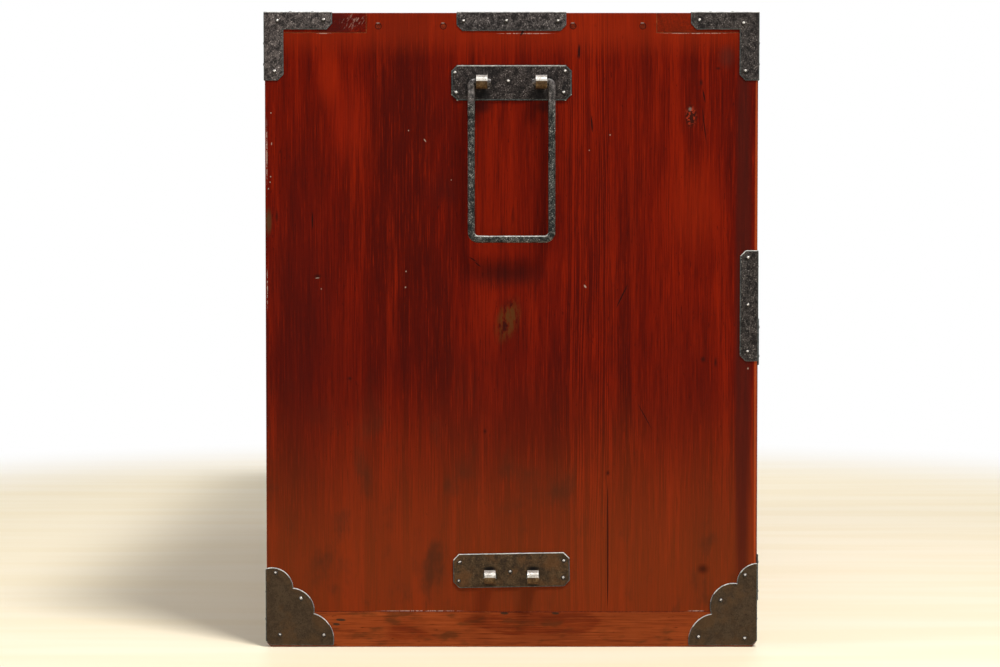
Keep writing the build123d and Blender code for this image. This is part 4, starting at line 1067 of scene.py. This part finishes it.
def plant_nails(node):
    planter = planter_of(node)
    bpy.context.view_layer.update()
    depsgraph = bpy.context.evaluated_depsgraph_get()
    mesh = bpy.data.meshes.new_from_object(planter.evaluated_get(depsgraph))
    bpy.data.objects.remove(planter)
    take_over(bpy.data.objects.new(node + "_forged", mesh), node, nail_crown_highlight)
    # Painted highlight: faces of a head that look out and a little up get the bright crown iron.
    crown = mesh.materials.find(nail_crown_highlight.name)
    for face in mesh.polygons:
        way = all_ways[nail_map.find(face.center)[1]]
        if face.normal.dot((way + Vector((0, 0, 0.3))).normalized()) > CROWN:
            face.material_index = crown
    return len(seats_of[node]), len(mesh.polygons)


for node in NAIL_NODES:
    print(node, "nails and faces:", plant_nails(node))

# %% [markdown]
# ## Handles and pulls
# A carrying handle is one bar, drawn out square under the hammer, bent twice to a U and twice more so that
# its round ends turn in through the eyes. It is swept here ring by ring along that line. A curve with a
# bevel could do it too, but would keep one section all the way. First comes the line itself.

# %% A line with rounded corners
TURNS = 8


def rounded_line(corners, bends, step):
    """Points every so often along straight runs and round the bends, with the way the line heads at each."""
    stations = []
    here = Vector(corners[0])
    for index in range(1, len(corners)):
        corner = Vector(corners[index])
        heading = (corner - here).normalized()
        last = index == len(corners) - 1
        bend = 0.0 if last else bends[index - 1]
        run = (corner - here).length - bend
        count = max(1, round(run / step))
        stations += [(here + heading * run * k / count, heading) for k in range(count + (1 if last else 0))]
        if last:
            break
        after = (Vector(corners[index + 1]) - corner).normalized()
        centre = here + heading * run + after * bend
        for k in range(TURNS):
            angle = math.pi / 2 * k / TURNS
            way = heading * math.cos(angle) + after * math.sin(angle)
            stations.append((centre - after * bend * math.cos(angle) + heading * bend * math.sin(angle), way))
        here = corner + after * bend
    return stations


def bail_line(pin_start, leg, drop, top_bend, low_bend, step):
    """From one pin out to the leg, down, across, up and in to the other pin."""
    corners = [(pin_start, 0), (leg, 0), (leg, -drop), (-leg, -drop), (-leg, 0), (-pin_start, 0)]
    return rounded_line(corners, [top_bend, low_bend, low_bend, top_bend], step)


# %% [markdown]
# The section goes from round at the pins to square in the bar, and slow noise makes it swell and waver as
# forged bar does. A rounded square is a circle whose sine and cosine are raised to a power: 1 leaves it
# round, and a smaller power pushes it out into its corners.

# %% The bar's section at one place
RIM = 20
INTO_PIN = 2.5 * MM
TIP = 1.2 * MM
TIP_LOSS = 0.18
SWELLS = 55


def bar_here(run, whole, seed, half, pin_half, pin_length, squareness, waver):
    """How much it is bar and not pin, from 0 to 1, with its half thickness and the power of its section."""
    to_end = min(run, whole - run)
    bar = min(1.0, max(0.0, (to_end - pin_length) / INTO_PIN))
    bar = bar * bar * (3 - 2 * bar)
    size = pin_half + (half - pin_half) * bar
    size *= 1 - TIP_LOSS * max(0.0, 1 - to_end / TIP) ** 2
    size *= 1 + waver * bar * (noise.noise(Vector((run * SWELLS, seed, 0.3))) - 0.5)
    return bar, size, 2.0 / (2.0 + (squareness - 2.0) * bar)


def section(size, power):
    """One cut through the bar, as steps round its rim."""
    rim = []
    for k in range(RIM):
        angle = 2 * math.pi * k / RIM + math.pi / RIM
        c, s = math.cos(angle), math.sin(angle)
        rim.append((math.copysign(abs(c) ** power, c) * size, math.copysign(abs(s) ** power, s) * size))
    return rim


# %% [markdown]
# The rings are joined by a skin of four-sided faces and closed at both ends. A sweep can come out with its
# faces pointing inwards, so they are reckoned anew. Small dents lie over the bar but not over the pins,
# which have to turn in their eyes.

# %% Forge a bar along the line
DENTS = 210
DENT_DEPTH = 0.08 * MM


def skin(name, points, rings):
    faces = []
    for ring in range(rings - 1):
        for k in range(RIM):
            a, b = ring * RIM + k, ring * RIM + (k + 1) % RIM
            faces.append((a, b, b + RIM, a + RIM))
    faces.append(tuple(reversed(range(RIM))))
    faces.append(tuple(range((rings - 1) * RIM, rings * RIM)))
    mesh = bpy.data.meshes.new(name)
    mesh.from_pydata(points, [], faces)
    shape = bmesh.new()
    shape.from_mesh(mesh)
    bmesh.ops.recalc_face_normals(shape, faces=shape.faces)
    shape.to_mesh(mesh)
    shape.free()
    mesh.shade_smooth()
    mesh.set_sharp_from_angle(angle=math.radians(50))
    return bpy.data.objects.new(name, mesh)


def forged_bar(name, pin, stations, across_x, seed, **sizes):
    """Sweeps the section round a line through the pin, in the plane of X and Z or else of Y and Z."""
    lengths = [0.0]
    for (a, _), (b, _) in zip(stations, stations[1:]):
        lengths.append(lengths[-1] + (b - a).length)
    points = []
    for (station, way), run in zip(stations, lengths):
        bar, size, power = bar_here(run, lengths[-1], seed, **sizes)
        side = Vector((-way.y, way.x))
        for u, v in section(size, power):
            flat = station + side * u
            off = (flat.x, v, flat.y) if across_x else (v, flat.x, flat.y)
            point = Vector([at + by for at, by in zip(pin, off)])
            points.append(point + noise.noise_vector(point * DENTS) * (DENT_DEPTH * bar))
    return skin(name, points, len(stations))


# %% [markdown]
# The two carrying handles differ only in their swelling. At the top, where the bar bends over to its pins, it
# is smoother and lighter down to an uneven line, and faces that look up get a painted highlight wherever they
# are. The pin's place comes from the joint, so the handle turns truly in its eyes.

# %% Forge the carrying handles
LIGHTER_FROM = 496 * MM
UNEVEN = 14 * MM
handle_line = bail_line(pin_start=18.9 * MM, leg=36.6 * MM, drop=142.5 * MM, top_bend=3.9 * MM,
                        low_bend=6.4 * MM, step=1.6 * MM)
handle_bar = {"half": 3.38 * MM, "pin_half": 2.9 * MM, "pin_length": 14.0 * MM, "squareness": 4.2,
              "waver": 0.05}
for side, sign in SIDES.items():
    node = f"carry_handle_{side}"
    bar = forged_bar(node + "_forged", pin_of[node], handle_line, False, 2 + sign, **handle_bar)
    take_over(bar, node, bar_iron, bar_highlight, upper_bar_iron)
    # The top of each handle, down to an uneven line, gets the lighter, smoother iron.
    for face in bar.data.polygons:
        if face.center.z > LIGHTER_FROM + UNEVEN * noise.noise(face.center * 260):
            face.material_index = 2
    # Painted highlight: faces that look up get the bright bar iron.
    give_highlight(bar.data, 0, 1, 0.35)
    give_highlight(bar.data, 2, 1, 0.75)
    print(bar.name, len(bar.data.polygons), "faces")

# %% [markdown]
# The drawer pulls are the same kind of bail, smaller and round in section, with wide lower corners. They hang
# across the front, so their line lies along the chest's length.

# %% Forge the pulls
PULL_SEED = 14
pull_line = bail_line(pin_start=20.7 * MM, leg=34.15 * MM, drop=42 * MM, top_bend=3.6 * MM,
                      low_bend=12 * MM, step=1.2 * MM)
pull_bar = {"half": 2.9 * MM, "pin_half": 2.1 * MM, "pin_length": 10.5 * MM, "squareness": 2.4, "waver": 0.08}
for level in LEVELS:
    for side, sign in SIDES.items():
        node = f"{level}_pull_{side}"
        bar = forged_bar(node + "_forged", pin_of[node], pull_line, True, PULL_SEED + sign, **pull_bar)
        take_over(bar, node, bar_iron, bar_highlight)
        # Painted highlight: faces that look up get the bright bar iron.
        give_highlight(bar.data, 0, 1, 0.55)
        print(bar.name, len(bar.data.polygons), "faces")

# %% [markdown]
# ## Studio
# The stage is a plain pale floor with a faint grain that fades to white. The white is shown to the eye and in
# reflections only, by way of the Light Path node: if it lit the chest as well, the lacquer would lose
# its depth. The floor itself is an ordinary surface, so that it keeps the chest's shadow.

# %% The floor
REACH = 9.0
FADE_FROM, FADE_TO = 0.95, 1.7


def shown(tree):
    """1 for the rays that show a thing itself or its mirror image, 0 for those that only carry light on."""
    rays = put(tree, "ShaderNodeLightPath").outputs
    mirrored = reckon(tree, "MAXIMUM", rays["Is Glossy Ray"], rays["Is Transmission Ray"])
    return reckon(tree, "MAXIMUM", rays["Is Camera Ray"], mirrored)


def floor_finish():
    material, tree, shader = blank_finish("pale floor")
    place = put(tree, "ShaderNodeTexCoord").outputs["Object"]
    grain = cloud(tree, stretched(tree, place, (16, 1.6, 1)), 1.0, 2.0)
    cream = blend(tree, eased(tree, grain, 0.35, 0.65), tone(238, 224, 192), tone(241, 229, 202))
    tree.links.new(cream, shader.inputs["Base Color"])
    shader.inputs["Roughness"].default_value = 0.6
    shader.inputs["Specular IOR Level"].default_value = 0.2
    away = on_vectors(tree, "LENGTH", place)
    white = put(tree, "ShaderNodeEmission", {"Color": (1, 1, 1, 1), "Strength": 1.0})
    share = reckon(tree, "MULTIPLY", eased(tree, away, FADE_FROM, FADE_TO), shown(tree))
    mixed = put(tree, "ShaderNodeMixShader", {0: share, 1: shader.outputs[0], 2: white.outputs[0]})
    tree.links.new(mixed.outputs[0], tree.nodes["Material Output"].inputs["Surface"])
    return material


corners = [(-REACH, -REACH, 0), (REACH, -REACH, 0), (REACH, REACH, 0), (-REACH, REACH, 0)]
floor_mesh = bpy.data.meshes.new("studio_floor")
floor_mesh.from_pydata(corners, [], [(0, 1, 2, 3)])
floor_mesh.materials.append(floor_finish())
studio_floor = bpy.data.objects.new("studio_floor", floor_mesh)
bpy.context.scene.collection.objects.link(studio_floor)
print("floor", 2 * REACH, "m wide")

# %% [markdown]
# The world is a white room to the eye and in reflections, but a dim grey one as a light, for the same reason.

# %% The room
ROOM_LIGHT = (0.11, 0.11, 0.11, 1.0)
ROOM_SEEN = (1.0, 1.0, 1.0, 1.0)
world = bpy.data.worlds.new("white room")
world.use_nodes = True
sky = world.node_tree
room = sky.nodes["Background"]
sky.links.new(blend(sky, shown(sky), ROOM_LIGHT, ROOM_SEEN), room.inputs["Color"])
room.inputs["Strength"].default_value = 1.0
bpy.context.scene.world = world
print("a white room that lights with", ROOM_LIGHT[0])

# %% [markdown]
# Broad soft lamps stand on every side, so that each face of the chest can be read. One smaller lamp hangs
# high by the left end: its light falls steeply down the board, which brings out the irons' rims and throws
# the handle's shadow below it.

# %% Lamps
MIDDLE = (0.0, 0.0, 0.3)
LAMPS = (("steep lamp", (-1.69, -0.82, 3.1), (-0.56, 0, 0.35), 0.7, 104),
         ("left lamp", (-4.6, 1.0, 2.6), MIDDLE, 2.4, 9), ("front lamp", (-2.6, -3.4, 3.2), MIDDLE, 3.0, 58),
         ("right lamp", (4.1, -0.3, 3.0), MIDDLE, 3.0, 62), ("back lamp", (-0.3, 3.8, 3.2), MIDDLE, 3.0, 76))


def soft_lamp(name, place, aim, size, power):
    light = bpy.data.lights.new(name, "AREA")
    light.size = size
    light.energy = power
    lamp = bpy.data.objects.new(name, light)
    lamp.location = place
    lamp.rotation_euler = (Vector(aim) - Vector(place)).to_track_quat("-Z", "Y").to_euler()
    bpy.context.scene.collection.objects.link(lamp)
    return lamp


for lamp in LAMPS:
    print(soft_lamp(*lamp).name, lamp[-1], "watts")

# %% [markdown]
# ## Camera
# The camera looks square at the chest's left end, from about two metres, a little above its middle and
# tilted two degrees down. Its long lens keeps the end board nearly true.

# %% Camera
TILT_DOWN = 2.1
lens = bpy.data.cameras.new("camera")
lens.lens = 78.68
lens.sensor_width = 36.0
camera = bpy.data.objects.new("camera", lens)
camera.location = (-2.56, 0.0105, 0.362)
camera.rotation_euler = (math.radians(90 - TILT_DOWN), 0.0, math.radians(-90))
bpy.context.scene.collection.objects.link(camera)
bpy.context.scene.camera = camera
bpy.context.scene.view_settings.view_transform = "Standard"
print("camera", round(-camera.location.x - END_FACE, 2), "m from the end board")
